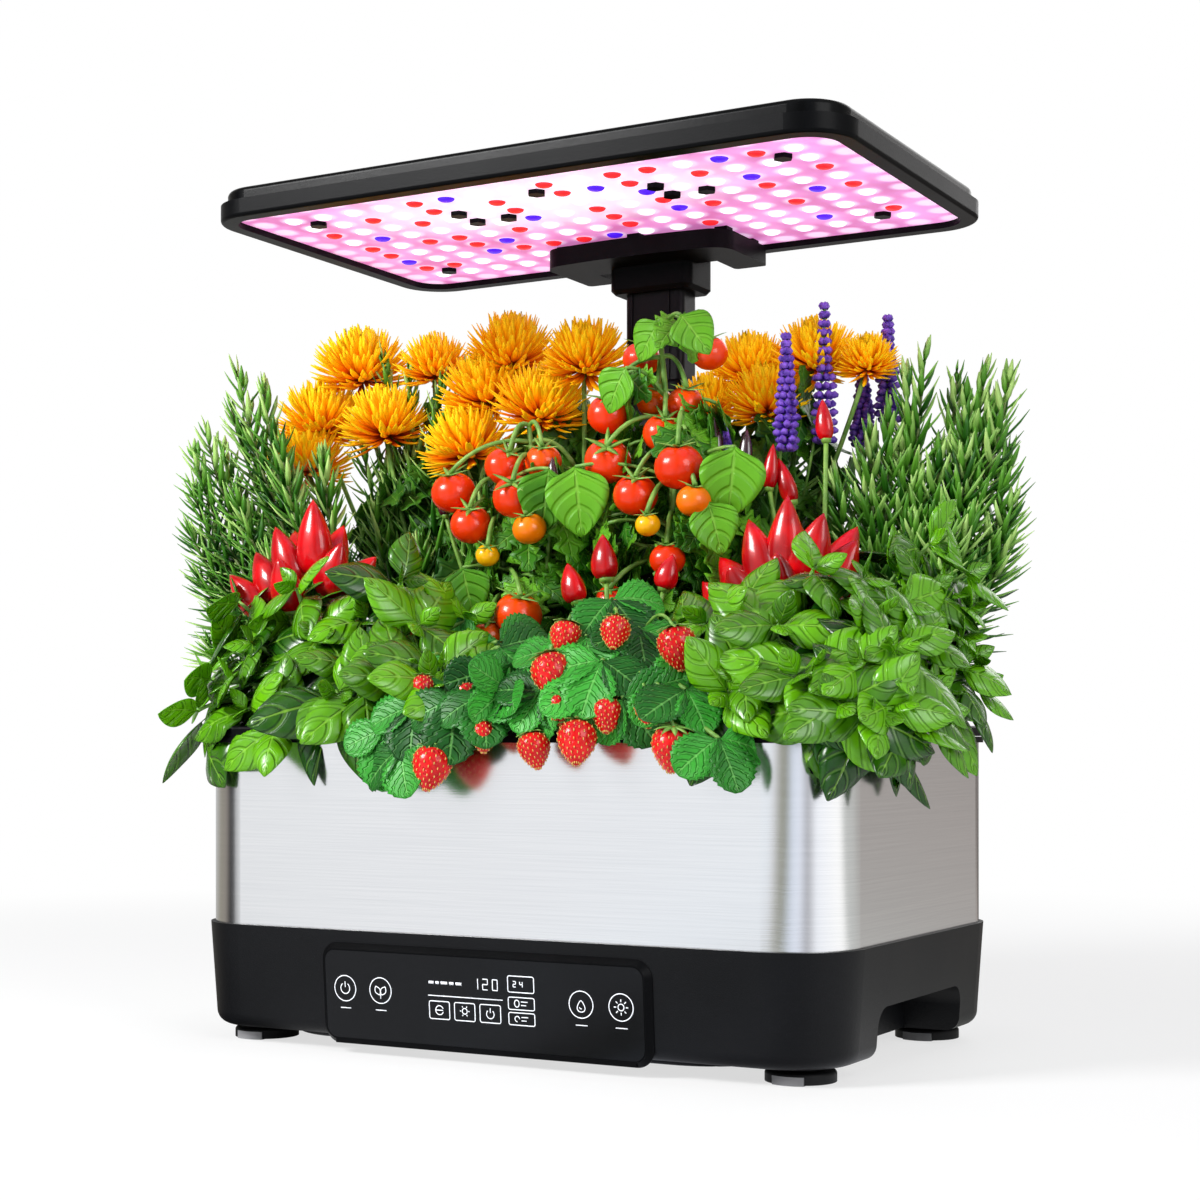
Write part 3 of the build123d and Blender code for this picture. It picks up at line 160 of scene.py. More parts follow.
# ---- studio: white walls with soft grey flags that polished metal shows, a weak even light on
# matt things, and three softboxes: left in front, right, and behind.
# Each stop is a compass angle from 0 at -X, counterclockwise, and the wall's colour there.
studio_walls = [
    (0.0, (0.32, 0.3, 0.25)), (0.045, (0.3, 0.27, 0.24)), (0.078, (0.02, 0.02, 0.024)),
    (0.105, (0.12, 0.12, 0.12)), (0.122, (0.88, 0.89, 0.9)), (0.175, (0.9, 0.91, 0.93)),
    (0.225, (0.92, 0.97, 1.02)), (0.25, (0.8, 0.8, 0.83)), (0.272, (0.4, 0.4, 0.35)),
    (0.3, (0.27, 0.27, 0.2)), (0.322, (0.7, 0.76, 0.86)), (0.355, (0.88, 0.92, 1.02)),
    (0.388, (0.42, 0.42, 0.45)), (0.425, (0.95, 0.97, 1.02)), (0.53, (1.14, 1.13, 1.11)),
    (0.56, (0.58, 0.59, 0.57)), (0.61, (0.56, 0.56, 0.54)), (0.66, (0.43, 0.41, 0.39)),
    (0.7, (0.395, 0.355, 0.335)), (0.724, (0.1, 0.085, 0.075)), (0.78, (0.46, 0.44, 0.43)),
    (0.9, (0.62, 0.62, 0.62)), (1.0, (0.32, 0.3, 0.25)),
]
room_light = (0.17, 0.175, 0.19)


def rays(start):
    """1 for rays that see a thing directly or through glass, and 1 for rays that reflect it."""
    path = {name: start.node("ShaderNodeLightPath", output="Is " + name + " Ray")
            for name in ("Camera", "Glossy", "Transmission")}
    return path["Camera"] + path["Transmission"], path["Glossy"]


world = bpy.data.worlds.new("studio")
world.use_nodes = True
scene.world = world
sky = world.node_tree
sky.nodes.clear()
start = Shade(sky)
direct, glossy = rays(start)
walls = azimuth(start.node("ShaderNodeTexCoord", output="Generated")).ramp(studio_walls)
seen = direct.mix(glossy.mix(room_light, walls), (1.0, 1.0, 1.0))
lit = start.node("ShaderNodeBackground", {}, {"Color": seen, "Strength": 1.0})
world_out = sky.nodes.new("ShaderNodeOutputWorld")
sky.links.new(lit.socket, world_out.inputs["Surface"])

for place, turn, size, power in (
    ((-0.9, -1.35, 1.15), (np.radians(56), 0.0, np.radians(-33)), 0.6, 38.0),
    ((1.5, -0.7, 0.9), (np.radians(66), 0.0, np.radians(66)), 0.9, 13.0),
    ((0.2, 1.5, 1.2), (np.radians(-56), 0.0, np.radians(-8)), 1.2, 11.0),
):
    softbox = bpy.data.lights.new("softbox", "AREA")
    softbox.size = size
    softbox.energy = power
    stand = bpy.data.objects.new("softbox", softbox)
    stand.location = place
    stand.rotation_euler = turn
    scene.collection.objects.link(stand)

# ---- table: a wide pale disc, matt under the garden, that turns into the white wall far out
# and reflects as the walls do.
table_radius = 6.0
rim = np.linspace(0, 2 * np.pi, 97)[:-1]
table = bpy.data.meshes.new("table")
table.from_pydata(
    [(0.0, 0.0, 0.0)] + [(table_radius * np.cos(turn), table_radius * np.sin(turn), 0.0) for turn in rim],
    [],
    [(0, 1 + index, 1 + (index + 1) % len(rim)) for index in range(len(rim))])
floor = bpy.data.objects.new("table", table)
scene.collection.objects.link(floor)
floor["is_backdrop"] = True
pale = bpy.data.materials.new("table")
pale.use_nodes = True
floor_tree = pale.node_tree
floor_tree.nodes.clear()
start = Shade(floor_tree)
at = start.node("ShaderNodeTexCoord", output="Object")
direct, glossy = rays(start)
far = (at.part(0) ** 2.0 + at.part(1) ** 2.0).step(0.1, 1.7)
matt = start.node("ShaderNodeBsdfDiffuse", {}, {"Color": (0.93, 0.93, 0.93)})
glow = glossy.mix((1.0, 1.0, 1.0), azimuth(at).ramp(studio_walls))
glow = start.node("ShaderNodeEmission", {}, {"Color": glow})
share = glossy + direct * (far * 0.32 + 0.68)
blend = start.node("ShaderNodeMixShader", {}, {0: share, 1: matt, 2: glow})
floor_out = floor_tree.nodes.new("ShaderNodeOutputMaterial")
floor_tree.links.new(blend.socket, floor_out.inputs["Surface"])
table.materials.append(pale)


# ---- base housing, bottom cover and pump: moulded black plastic with a fine spark-eroded
# texture; the housing's walls lean in 4 degrees so that it leaves its mould.
def finish(name, fixed, paint=None):
    """A material: `fixed` goes on the shader's own sockets, and paint(at) gives what varies."""
    made = bpy.data.materials.new(name)
    made.use_nodes = True
    tree = made.node_tree
    shader = tree.nodes["Principled BSDF"]
    for socket, value in fixed.items():
        shader.inputs[socket].default_value = (*value, 1.0) if isinstance(value, tuple) else value
    if paint:
        for socket, value in paint(Shade(tree).node("ShaderNodeTexCoord", output="Object")).items():
            tree.links.new(value.socket, shader.inputs[socket])
    return made


def moulded(name, colour, gloss, grain, depth, metallic=0.0, coat=0.0, shine=0.5):
    """Moulded or painted stock: a grain of that scale and depth, and slightly uneven gloss."""
    dark = tuple(0.82 * part for part in colour)

    def paint(at):
        speck = at.noise(grain, 2.0)
        patch = at.noise(22.0, 3.0)
        return {
            "Base Color": patch.step(0.3, 0.7).mix(dark, colour),
            "Roughness": patch * 0.1 + speck * 0.08 + (gloss - 0.09),
            "Normal": speck.bump(depth),
        }

    return finish(name, {"Metallic": metallic, "Coat Weight": coat, "Coat Roughness": 0.12,
                         "Specular IOR Level": shine}, paint)


def dress(made, *nodes):
    """Gives CAD nodes a material."""
    for node in nodes:
        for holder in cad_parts[node].material_slots:
            holder.material = made


dress(moulded("housing_plastic", (0.0042, 0.0046, 0.0058), 0.45, 1500.0, 0.00012, shine=0.16),
      "base_housing", "bottom_cover")
dress(moulded("pump_plastic", (0.01, 0.01, 0.011), 0.5, 900.0, 0.00008, shine=0.3),
      "pump_housing", "pump_cover", "riser_pipe")
dress(moulded("white_plastic", (0.72, 0.73, 0.74), 0.35, 700.0, 0.00003),
      "pump_impeller", "led_driver", "display_module")
dress(moulded("circuit_board", (0.02, 0.13, 0.06), 0.3, 300.0, 0.00003, coat=0.4),
      "touch_board", "control_board")
dress(moulded("float_plastic", (0.62, 0.03, 0.02), 0.3, 500.0, 0.00002), "float_indicator")

# ---- feet and metal: black rubber discs pushed into the housing's corners, each with a softer
# grey pad pressed across it; screws and pins are bright steel.
dress(moulded("foot_rubber", (0.006, 0.006, 0.0065), 0.6, 1100.0, 0.00008, shine=0.2), "foot_cups")
dress(moulded("grey_rubber", (0.29, 0.29, 0.3), 0.6, 900.0, 0.00006), "foot_pads")
dress(moulded("screw_steel", (0.62, 0.62, 0.64), 0.28, 1800.0, 0.00003, metallic=1.0),
      "base_screws", "pump_shaft", "lid_pin")

# ---- satin black parts: moulded tank, deck, lid, cups and the panel's frame, which rest or
# snap one in the other, and the lamp's shell. The mast is painted tube, and the hood glossier.
satin_black = moulded("satin_black", (0.0035, 0.0037, 0.0043), 0.34, 1300.0, 0.00004, shine=0.05)
dress(satin_black, "panel_bezel", "dc_jack", "water_tank", "grow_deck", "fill_lid", "mast_bushing",
      "mast_guide", "lamp_frame", "lamp_screws")
cells = [row + str(column) for row in "abc" for column in range(1, 5)]
dress(moulded("cup_plastic", (0.008, 0.008, 0.0085), 0.4, 900.0, 0.00006, shine=0.3),
      *["net_cup_" + cell for cell in cells])
dress(moulded("lamp_gloss", (0.0025, 0.0027, 0.0031), 0.24, 500.0, 0.00002, shine=0.07), "lamp_hood")
dress(moulded("bracket_satin", (0.004, 0.0042, 0.0046), 0.4, 1600.0, 0.00008, shine=0.05), "lamp_bracket")
dress(moulded("mast_paint", (0.006, 0.0062, 0.0068), 0.32, 2200.0, 0.00005, shine=0.1),
      "mast_outer", "mast_inner")


# ---- steel sleeve: a band of thin stainless sheet, brushed round the garden, with a satin
# shine that is sharper across the brushing than along it.
def brushed(at):
    """Fine level lines: a noise drawn out along the sheet, and slow clouds of shine."""
    line = at.scaled(9.0, 9.0, 1600.0).noise(1.0, 3.0, 0.7)
    cloud = at.scaled(5.0, 5.0, 14.0).noise(1.0, 2.0)
    return {
        "Base Color": line.step(0.25, 0.75).mix((0.83, 0.84, 0.855), (0.9, 0.905, 0.915)),
        "Roughness": line * 0.07 + cloud * 0.05 + 0.12,
        "Normal": line.bump(0.00003),
    }


dress(finish("brushed_steel", {"Metallic": 1.0}, brushed), "steel_sleeve")


# ---- touch panel: one pane of smooth black plastic, glued into the frame on the housing's
# front, with its signs printed in white and a lit display behind it.
def grid_faces(rows, columns, copies=1, ring=False):
    """Quads between neighbours of grids stored one after another; a ring joins its last column
    to its first."""
    i, j = np.meshgrid(np.arange(rows - 1), np.arange(columns if ring else columns - 1), indexing="ij")
    k = (j + 1) % columns
    quads = np.stack([i * columns + j, i * columns + k, (i + 1) * columns + k, (i + 1) * columns + j], -1)
    return (quads.reshape(1, -1, 4) + (np.arange(copies) * rows * columns)[:, None, None]).reshape(-1, 4)


def unit(vectors):
    """The same directions at length 1."""
    return vectors / np.linalg.norm(vectors, axis=-1, keepdims=True)


def put(name, body, made, points, faces, blade=None, weld=False, thickness=0.0):
    """Makes a piece from arrays in millimetres and lets it ride on a body."""
    mesh = bpy.data.meshes.new(name)
    mesh.from_pydata((np.asarray(points) * MM).reshape(-1, 3), [], np.asarray(faces))
    if blade is not None:
        layer = mesh.attributes.new("blade", "FLOAT_VECTOR", "POINT")
        layer.data.foreach_set("vector", np.asarray(blade, np.float32).ravel())
    if weld:
        work = bmesh.new()
        work.from_mesh(mesh)
        bmesh.ops.remove_doubles(work, verts=work.verts, dist=2e-7)
        work.to_mesh(mesh)
        work.free()
    mesh.polygons.foreach_set("use_smooth", np.ones(len(mesh.polygons), bool))
    mesh.materials.append(made)
    piece = bpy.data.objects.new(name, mesh)
    scene.collection.objects.link(piece)
    if thickness:
        sheet = piece.modifiers.new("thickness", "SOLIDIFY")
        sheet.thickness = thickness * MM
        sheet.offset = 0.0
    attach(piece, body)
    return piece


def sweep(path, wide, thick, sides, flat=(0.0, 0.0, 1.0)):
    """Closed tubes along paths (tubes, points, 3): an ellipse with half axes `wide`, level with
    the direction `flat`, and `thick` is carried square to each path."""
    along = unit(np.gradient(path, axis=1))
    across = unit(np.cross(along, np.asarray(flat)))
    upward = np.cross(along, across)
    turn = 2 * np.pi * np.arange(sides) / sides
    wide, thick = np.broadcast_to(wide, path.shape[:2]), np.broadcast_to(thick, path.shape[:2])
    ring = path[:, :, None] + (
        wide[..., None, None] * np.cos(turn)[:, None] * across[:, :, None]
        + thick[..., None, None] * np.sin(turn)[:, None] * upward[:, :, None])
    ends = np.broadcast_to(path[:, [0, -1], None], (len(path), 2, sides, 3))
    points = np.concatenate([ends[:, :1], ring, ends[:, 1:]], 1)
    return points.reshape(-1, 3), grid_faces(points.shape[1], sides, len(path), True)


def joined(*meshes):
    """Several (points, faces) as one."""
    starts = np.cumsum([0] + [len(points) for points, _ in meshes])
    return (np.concatenate([points for points, _ in meshes]),
            np.concatenate([faces + first for (_, faces), first in zip(meshes, starts)]))


# The pane stands on the housing's front, 3.4 mm before it, and leans as the wall does.
lean = np.radians(4.0)
glass_front = 122.222 + 3.4 * 0.99756
glass_middle = 32.26
ink = 0.06


def on_glass(marks):
    """Flat points (across, up) about the pane's middle to places just before it."""
    marks = np.asarray(marks, float)
    return np.stack([marks[..., 0], -(glass_front + ink) - np.sin(lean) * marks[..., 1],
                     glass_middle + np.cos(lean) * marks[..., 1]], -1)


def strokes(lines, width):
    """Printed lines: each is a list of flat points, drawn as a thin flat band along it."""
    made = []
    for line in lines:
        path = on_glass(line)[None]
        made.append(sweep(path, width / 2, 0.05, 4, (0.0, -np.cos(lean), -np.sin(lean))))
    return joined(*made)


def arc(x, y, radius, first=0.0, last=360.0, steps=33, tall=1.0):
    """Flat points along an arc about (x, y), between two angles in degrees."""
    turn = np.radians(np.linspace(first, last, steps))
    return np.stack([x + radius * np.cos(turn), y + radius * tall * np.sin(turn)], -1)


def box_line(x, y, width, height, corner=1.0):
    """A rounded frame about (x, y), as one closed line."""
    corners = [(1, 1, 0), (-1, 1, 90), (-1, -1, 180), (1, -1, 270)]
    runs = [arc(x + sx * (width / 2 - corner), y + sy * (height / 2 - corner), corner, turn, turn + 90, 5)
            for sx, sy, turn in corners]
    return np.concatenate(runs + [runs[0][:1]])


def spokes(x, y, inner, outer, count):
    """Short lines away from (x, y), all round it."""
    return [[(x + reach * np.cos(t), y + reach * np.sin(t)) for reach in (inner, outer)]
            for t in np.arange(count) * 2 * np.pi / count]


def digit(shape, x, y, high):
    """A seven-bar number about (x, y); `shape` names its lit bars, a to g."""
    w, h = high * 0.27, high / 2
    bars = {"a": ((-w, h), (w, h)), "b": ((w, h), (w, 0)), "c": ((w, 0), (w, -h)), "d": ((w, -h), (-w, -h)),
            "e": ((-w, -h), (-w, 0)), "f": ((-w, 0), (-w, h)), "g": ((-w, 0), (w, 0))}
    return [np.linspace(*[np.add((x, y), 0.84 * np.array(end)) for end in bars[bar]], 3) for bar in shape]


key_row = 3.2
key_places = power_key, plant_key, water_key, light_key = (-84.5, -61.5, 61.5, 84.5)
print_lines = [arc(x, key_row, 6.9, steps=65) for x in key_places]
# power, leaf pair, droplet with waves, sun
print_lines += [arc(power_key, key_row, 2.9, 125, 415),
                [(power_key, key_row + 0.6), (power_key, key_row + 3.7)]]
for side in (-1, 1):
    rib = np.linspace(0, 1, 9)
    sway = side * 1.5 * np.sin(np.pi * rib)
    bulge = np.stack([sway, -sway * side * 0.5], -1)
    leaf = np.stack([plant_key + side * (0.5 + 2.6 * rib), key_row - 2.4 + 4.6 * rib], -1)
    print_lines += [leaf + bulge, leaf - bulge]
print_lines += [[(plant_key, key_row - 4.4), (plant_key, key_row - 1.6)]]
drop_turn = np.linspace(-np.pi / 2, 1.5 * np.pi, 33)
print_lines += [np.stack([water_key + 2.1 * np.cos(drop_turn) * (1 - 0.45 * np.sin(drop_turn)),
                          key_row - 0.9 + 2.9 * np.sin(drop_turn)], -1)]
print_lines += [arc(water_key, key_row - 1.0, 1.1, 200, 290, 7)]
print_lines += [arc(light_key, key_row, 1.7), *spokes(light_key, key_row, 2.7, 4.1, 8)]
# small rules under the keys and on the display stand for words
print_lines += [[(x - 3.4, -7.4), (x + 3.4, -7.4)] for x in key_places]
print_lines += [[(-31, 2.6), (15, 2.6)]]
print_lines += [box_line(x, -5.0, 12.6, 9.4) for x in (-24.2, -8.5, 7.2)]
print_lines += [box_line(26.2, y, 15.6, high) for y, high in ((11.4, 8.4), (1.4, 6.4), (-6.6, 6.4))]
print_lines += [arc(-24.2, -5.0, 2.4, 20, 340), [(-26.4, -5.0), (-22.0, -5.0)]]
print_lines += [arc(-8.5, -4.6, 1.5), *spokes(-8.5, -4.6, 2.1, 3.0, 6)]
print_lines += [arc(7.2, -5.2, 2.3, 130, 410), [(7.2, -4.6), (7.2, -2.0)]]
print_lines += [arc(23.5, 1.4, 1.4, tall=1.3), [(26.0, 2.4), (30.0, 2.4)], [(26.0, 0.6), (29.0, 0.6)]]
print_lines += [arc(23.5, -6.6, 1.4, 0, 270), [(26.0, -5.6), (30.0, -5.6)], [(26.0, -7.4), (29.0, -7.4)]]
for shape, x in (("bc", -1.4), ("abged", 4.6), ("abcdef", 10.6)):
    print_lines += digit(shape, x, 10.2, 6.6)
for shape, x in (("abged", 22.4), ("fgbc", 26.4)):
    print_lines += digit(shape, x, 11.4, 3.4)
bars = [[(x, 9.6), (x + wide, 9.6)] for x, wide in (
    (-30.5, 3.2), (-26.2, 2.2), (-22.9, 4.1), (-17.6, 2.8), (-13.6, 3.6))]
marks = joined(strokes(print_lines, 0.55), strokes(bars, 1.5))
white_print = finish("white_print", {
    "Base Color": (0.9, 0.92, 0.95), "Roughness": 0.5,
    "Emission Color": (0.85, 0.9, 1.0), "Emission Strength": 0.35})
put("panel_print", "base", white_print, *marks, weld=True)
dress(moulded("pane_black", (0.0045, 0.005, 0.0064), 0.22, 90.0, 0.00001, shine=0.2), "panel_glass")

# ---- grow lamp: a painted aluminium board screwed under the lamp's frame, with its own white,
# red and blue LEDs; each of them has a round diffusing cap. The board's pink glow is painted LED
# light, brightest in painted halos round the LEDs and in a painted bright patch in the middle.
led_pitch = (20.9, 19.6)
lamp_middle = 2.0
board_under = 467.5


def led_board(at):
    """The board's pink glow is painted LED light: brightest in painted halos beside each LED, and most of
    all in a painted bright patch in front of the bracket.
    """
    start = (40.0, 40.5 - lamp_middle / led_pitch[1])
    across, along = (
        ((at.part(axis) / (led_pitch[axis] * MM) + start[axis]).math("FRACT") - 0.5) * led_pitch[axis]
        for axis in (0, 1))
    reach = (across * across + along * along).math("SQRT")
    painted_halo = 1.0 - reach.step(4.0, 9.5)
    # the painted bright patch: an ellipse with half axes of 126 and 63 mm, 10 mm left and 50 mm in front of
    # the middle
    middle = (at.part(0) + 0.01) ** 2.0 / 0.016 + (at.part(1) + 0.05) ** 2.0 / 0.004
    centre = 1.0 - middle.step(0.0, 1.4)
    patch = at.noise(28.0, 2.0).step(0.35, 0.65)
    colour = patch.mix((0.56, 0.16, 0.42), (0.78, 0.3, 0.66))
    colour = (painted_halo * 0.8).mix(colour, (0.95, 0.68, 0.93))
    colour = (centre * 0.75).mix(colour, (1.0, 0.86, 1.0))
    return {"Base Color": colour, "Emission Color": colour}


dress(finish("led_board", {"Roughness": 0.5, "Emission Strength": 0.85}, led_board), "led_board")


def dome(places, radius, height, under, rings=5, sides=14):
    """Shallow caps under a plane: r = R sin(a), drop = h cos(a), turned about each place."""
    rise = np.linspace(np.pi / 2, 0, rings)
    turn = 2 * np.pi * np.arange(sides) / sides
    r, drop = radius * np.sin(rise)[:, None], height * np.cos(rise)[:, None]
    cap = np.stack([r * np.cos(turn), r * np.sin(turn), under - drop + 0 * turn], -1)
    points = np.zeros((len(places), rings, sides, 3)) + cap
    points[..., :2] += np.asarray(places)[:, None, None]
    return points.reshape(-1, 3), grid_faces(rings, sides, len(places), True)[:, ::-1]


def led_places(columns_rows):
    """Flat places of LEDs, each given by its column from the left and its row from the back."""
    grid = np.asarray(columns_rows, float)
    return np.stack([(grid[:, 0] - 7.5) * led_pitch[0], lamp_middle + (4 - grid[:, 1]) * led_pitch[1]], -1)


red_leds = [(0, 1), (1, 1), (15, 1), (4, 2), (5, 2), (6, 2), (10, 2), (0, 3), (3, 3), (8, 3), (13, 3),
            (0, 4), (2, 4), (3, 4), (5, 4), (8, 4), (11, 4), (15, 4), (8, 5), (10, 5), (13, 5), (0, 6),
            (3, 6), (6, 6), (15, 6), (2, 7), (4, 7), (6, 7), (8, 7), (10, 7), (12, 7), (4, 8), (8, 8),
            (10, 8), (11, 8), (14, 8)]
blue_leds = [(13, 1), (0, 2), (3, 2), (7, 2), (4, 3), (10, 4), (14, 4), (1, 5), (6, 5), (10, 6), (13, 6),
             (9, 7), (5, 8), (13, 8)]
cap_radius, cap_drop = 4.9, 1.9
under_bracket = [(column, row) for column in range(5, 11) for row in (0, 1)]
white_leds = [(column, row) for column in range(16) for row in range(9)
              if (column, row) not in red_leds + blue_leds + under_bracket]
for colour, places, tint, power in (
    ("white", white_leds, (1.0, 0.97, 1.0), 1.25),
    ("red", red_leds, (0.86, 0.02, 0.03), 0.9),
    ("blue", blue_leds, (0.07, 0.01, 0.8), 0.9),
):
    lit_cap = finish(
        "led_" + colour, {"Roughness": 0.25, "Emission Strength": power},
        lambda at, tint=tint: {
            "Base Color": at.noise(60.0).step(0.2, 0.8).mix(tuple(0.8 * part for part in tint), tint),
            "Emission Color": at.noise(60.0).step(0.2, 0.8).mix(tuple(0.93 * part for part in tint), tint)})
    shapes = dome(led_places(places), cap_radius, cap_drop, board_under - 0.02)
    caps = put("led_caps_" + colour, "lamp", lit_cap, *shapes, weld=True)
    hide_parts("led_" + colour)


# ---- growth plugs: tapered peat sponges that stand in the net cups and swell a little out of
# them; every plant of the pod is rooted in its sponge.
def turned(centres, axes, profile, sides, ribs=0, rib_depth=0.0):
    """Solids of revolution: profile (steps, 2) of radius and height is turned about each axis,
    with `ribs` shallow waves round it."""
    axes = unit(np.asarray(axes, float))
    first = unit(np.cross(axes, np.where(np.abs(axes[:, :1]) < 0.8, [[1.0, 0.0, 0.0]], [[0.0, 1.0, 0.0]])))
    second = np.cross(axes, first)
    turn = 2 * np.pi * np.arange(sides) / sides
    profile = np.asarray(profile, float)
    if profile.ndim == 2:
        profile = np.broadcast_to(profile, (len(axes), *profile.shape))
    swell = 1 + rib_depth * np.cos(ribs * turn)
    flat = ((np.cos(turn) * swell)[:, None] * first[:, None]
            + (np.sin(turn) * swell)[:, None] * second[:, None])
    points = (np.asarray(centres, float)[:, None, None] + profile[:, :, 0, None, None] * flat[:, None]
              + profile[:, :, 1, None, None] * axes[:, None, None])
    return points.reshape(-1, 3), grid_faces(profile.shape[1], sides, len(axes), True)


def peat(at):
    """Dark crumbs and paler fibres, from one noise."""
    crumb = at.noise(420.0, 4.0, 0.7)
    return {"Base Color": crumb.ramp([(0.3, (0.012, 0.007, 0.004)), (0.5, (0.05, 0.028, 0.014)),
                                      (0.7, (0.13, 0.08, 0.04))]),
            "Normal": crumb.bump(0.0012)}


sponge = finish("peat_sponge", {"Roughness": 0.95}, peat)
columns = {str(index + 1): (index - 1.5) * 92.0 for index in range(4)}
rows = {"a": -68.0, "b": 0.0, "c": 68.0}
plug_top = 174.0
middle = {cell: np.array([columns[cell[1]], rows[cell[0]], plug_top]) for cell in cells}
plug_side = [(0, -42.6), (12.0, -42.6), (14.3, -4.0), (14.4, 0.5), (13.2, 2.6), (9.5, 3.9), (4.0, 4.3),
             (0, 4.3)]
for cell in cells:
    plug = turned([middle[cell]], [(0, 0, 1)], plug_side, 28, 9, 0.012)
    put("growth_plug_" + cell, "pod_" + cell, sponge, *plug, weld=True)


# ---- basil: soft green stems from the plug with pairs of glossy cupped leaves, crosswise at
# each tip. The stems and leaf sheets of the other plants are built in the same way.
plants = dict(zip(cells, (
    "basil_left", "strawberry_left", "strawberry_right", "basil_right",
    "rosemary_left", "tomato_left", "tomato_right", "pepper_right",
    "mum_left", "mum_middle", "mum_right", "rosemary_right")))


def grow(name, cell, made, arrays, thickness=0.0):
    """A piece of the plant in a pod: it rides on the pod and stands for the plant's node.
    Leaves have a thickness and blade coordinates, and what is closed is welded."""
    piece = put(name + "_" + cell, "pod_" + cell, made, *arrays, weld=not thickness, thickness=thickness)
    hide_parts("plant_" + plants[cell])


def rooted(cell, count, spread, chance):
    """Places on a pod's plug that stems start from, within `spread` of its axis both ways."""
    return middle[cell] + np.c_[chance.uniform(-spread, spread, (count, 2)), np.full(count, 2.0)]


def tubes(path, radius, sides, flat=(0.3, 1.0, 0.05)):
    """Round stems along paths."""
    return sweep(path, radius, radius, sides, flat)


def curve(first, middle, last, steps):
    """Parabolas with three control points: (1-s)^2 a + 2 s (1-s) b + s^2 c."""
    s = np.linspace(0, 1, steps)[:, None]
    a, b, c = (np.asarray(end, float)[:, None] for end in (first, middle, last))
    return (1 - s) ** 2 * a + 2 * s * (1 - s) * b + s**2 * c


golden_angle = 2.39996
rim_half = np.array([201.0, 127.0])
rim_corner = 42.0
on_deck = 178.6
near_rim = 9.0


def over_rim(points):
    """Lays leaves on the deck's rim and hangs them outside it: a point that would sink into
    the garden moves out past the rim if it is near it, and else up onto the deck."""
    points = points.copy()
    flat = np.abs(points[:, :2]) - (rim_half - rim_corner)
    past = np.maximum(flat, 0)
    reach = np.linalg.norm(past, axis=1)
    depth = reach + np.minimum(flat.max(1), 0) - rim_corner
    sunk = (depth < 0) & (points[:, 2] < on_deck)
    near = sunk & (depth > -near_rim)
    along_x = flat[:, 0] > flat[:, 1]
    way = np.where((reach > 1e-6)[:, None], past / np.maximum(reach, 1e-6)[:, None],
                   np.stack([along_x, ~along_x], 1).astype(float))
    points[near, :2] += (np.sign(points[:, :2]) * way * -depth[:, None])[near]
    points[sunk & ~near, 2] = on_deck + 0.05 * (points[sunk & ~near, 2] - on_deck)
    return points


def blades(root, along, face, bend, length, width, outline, rows, columns, cup=0.3, chance=None, fresh_and_lit=0.5):
    """Leaves as sheets about a midrib that starts towards `along`, with its upper side
    towards `face`, and bends away from it by `bend`. The half width is width * outline(s),
    and the edges lie cup * t^2 of it above the midrib. A leaf is the lighter the higher its
    freshness: partly a young leaf's paler green, partly painted shade, which a lower value lays
    on leaves deep in a plant."""
    count = len(root)
    s, t = np.linspace(0, 1, rows), np.linspace(1, -1, columns)
    bend, length, width, cup = (
        np.broadcast_to(np.asarray(value, float), count) for value in (bend, length, width, cup))
    along = unit(along)
    face = unit(face - (face * along).sum(-1, keepdims=True) * along)
    side = np.cross(face, along)[:, None]
    turn = (bend[:, None] * s)[..., None]
    way = np.cos(turn) * along[:, None] - np.sin(turn) * face[:, None]
    above = np.cos(turn) * face[:, None] + np.sin(turn) * along[:, None]
    steps = 0.5 * (way[:, 1:] + way[:, :-1]) * (length / (rows - 1))[:, None, None]
    rib = root[:, None] + np.concatenate([np.zeros((count, 1, 3)), np.cumsum(steps, 1)], 1)
    half = (width[:, None] * outline(s))[..., None, None]
    t = t[:, None]
    points = (rib[:, :, None] + side[:, :, None] * half * t
              + above[:, :, None] * cup[:, None, None, None] * half * t**2)
    shade = np.clip((chance or np.random.default_rng(1)).random(count) + 2 * fresh_and_lit - 1, 0, 1)
    blade = np.stack(np.broadcast_arrays(t[:, 0], s[:, None], shade[:, None, None]), -1)
    return over_rim(points.reshape(-1, 3)), grid_faces(rows, columns, count), blade.reshape(-1, 3)


def leafy(*leaves):
    """Several blade arrays as one: points, faces and blade coordinates."""
    points, faces = joined(*[(points, faces) for points, faces, _ in leaves])
    return points, faces, np.concatenate([blade for _, _, blade in leaves])


def outward(places, core, lift, spread, chance):
    """Directions from a plant's core through places, raised by `lift`, with some chance."""
    way = (places - core) * [1.0, 1.0, 0.0]
    way = way / np.maximum(np.linalg.norm(way, axis=-1, keepdims=True), 9.0)
    return unit(way + [0.0, 0.0, lift] + chance.normal(0, spread, places.shape))


def around(axis, turn, open_angle):
    """Directions at `open_angle` from each axis, turned round it; and the side facing it."""
    first = unit(np.cross(axis, [0.31, 0.93, 0.2]))
    second = np.cross(axis, first)
    out = np.cos(turn)[:, None] * first + np.sin(turn)[:, None] * second
    cosine, sine = np.cos(open_angle)[:, None], np.sin(open_angle)[:, None]
    return cosine * axis + sine * out, sine * axis - cosine * out


def tint(axis):
    """The blade attribute's coordinate: 0 across a leaf, 1 along it, 2 its shade."""
    return lambda at: at.node(
        "ShaderNodeAttribute", {"attribute_name": "blade"}, output="Vector").part(axis)


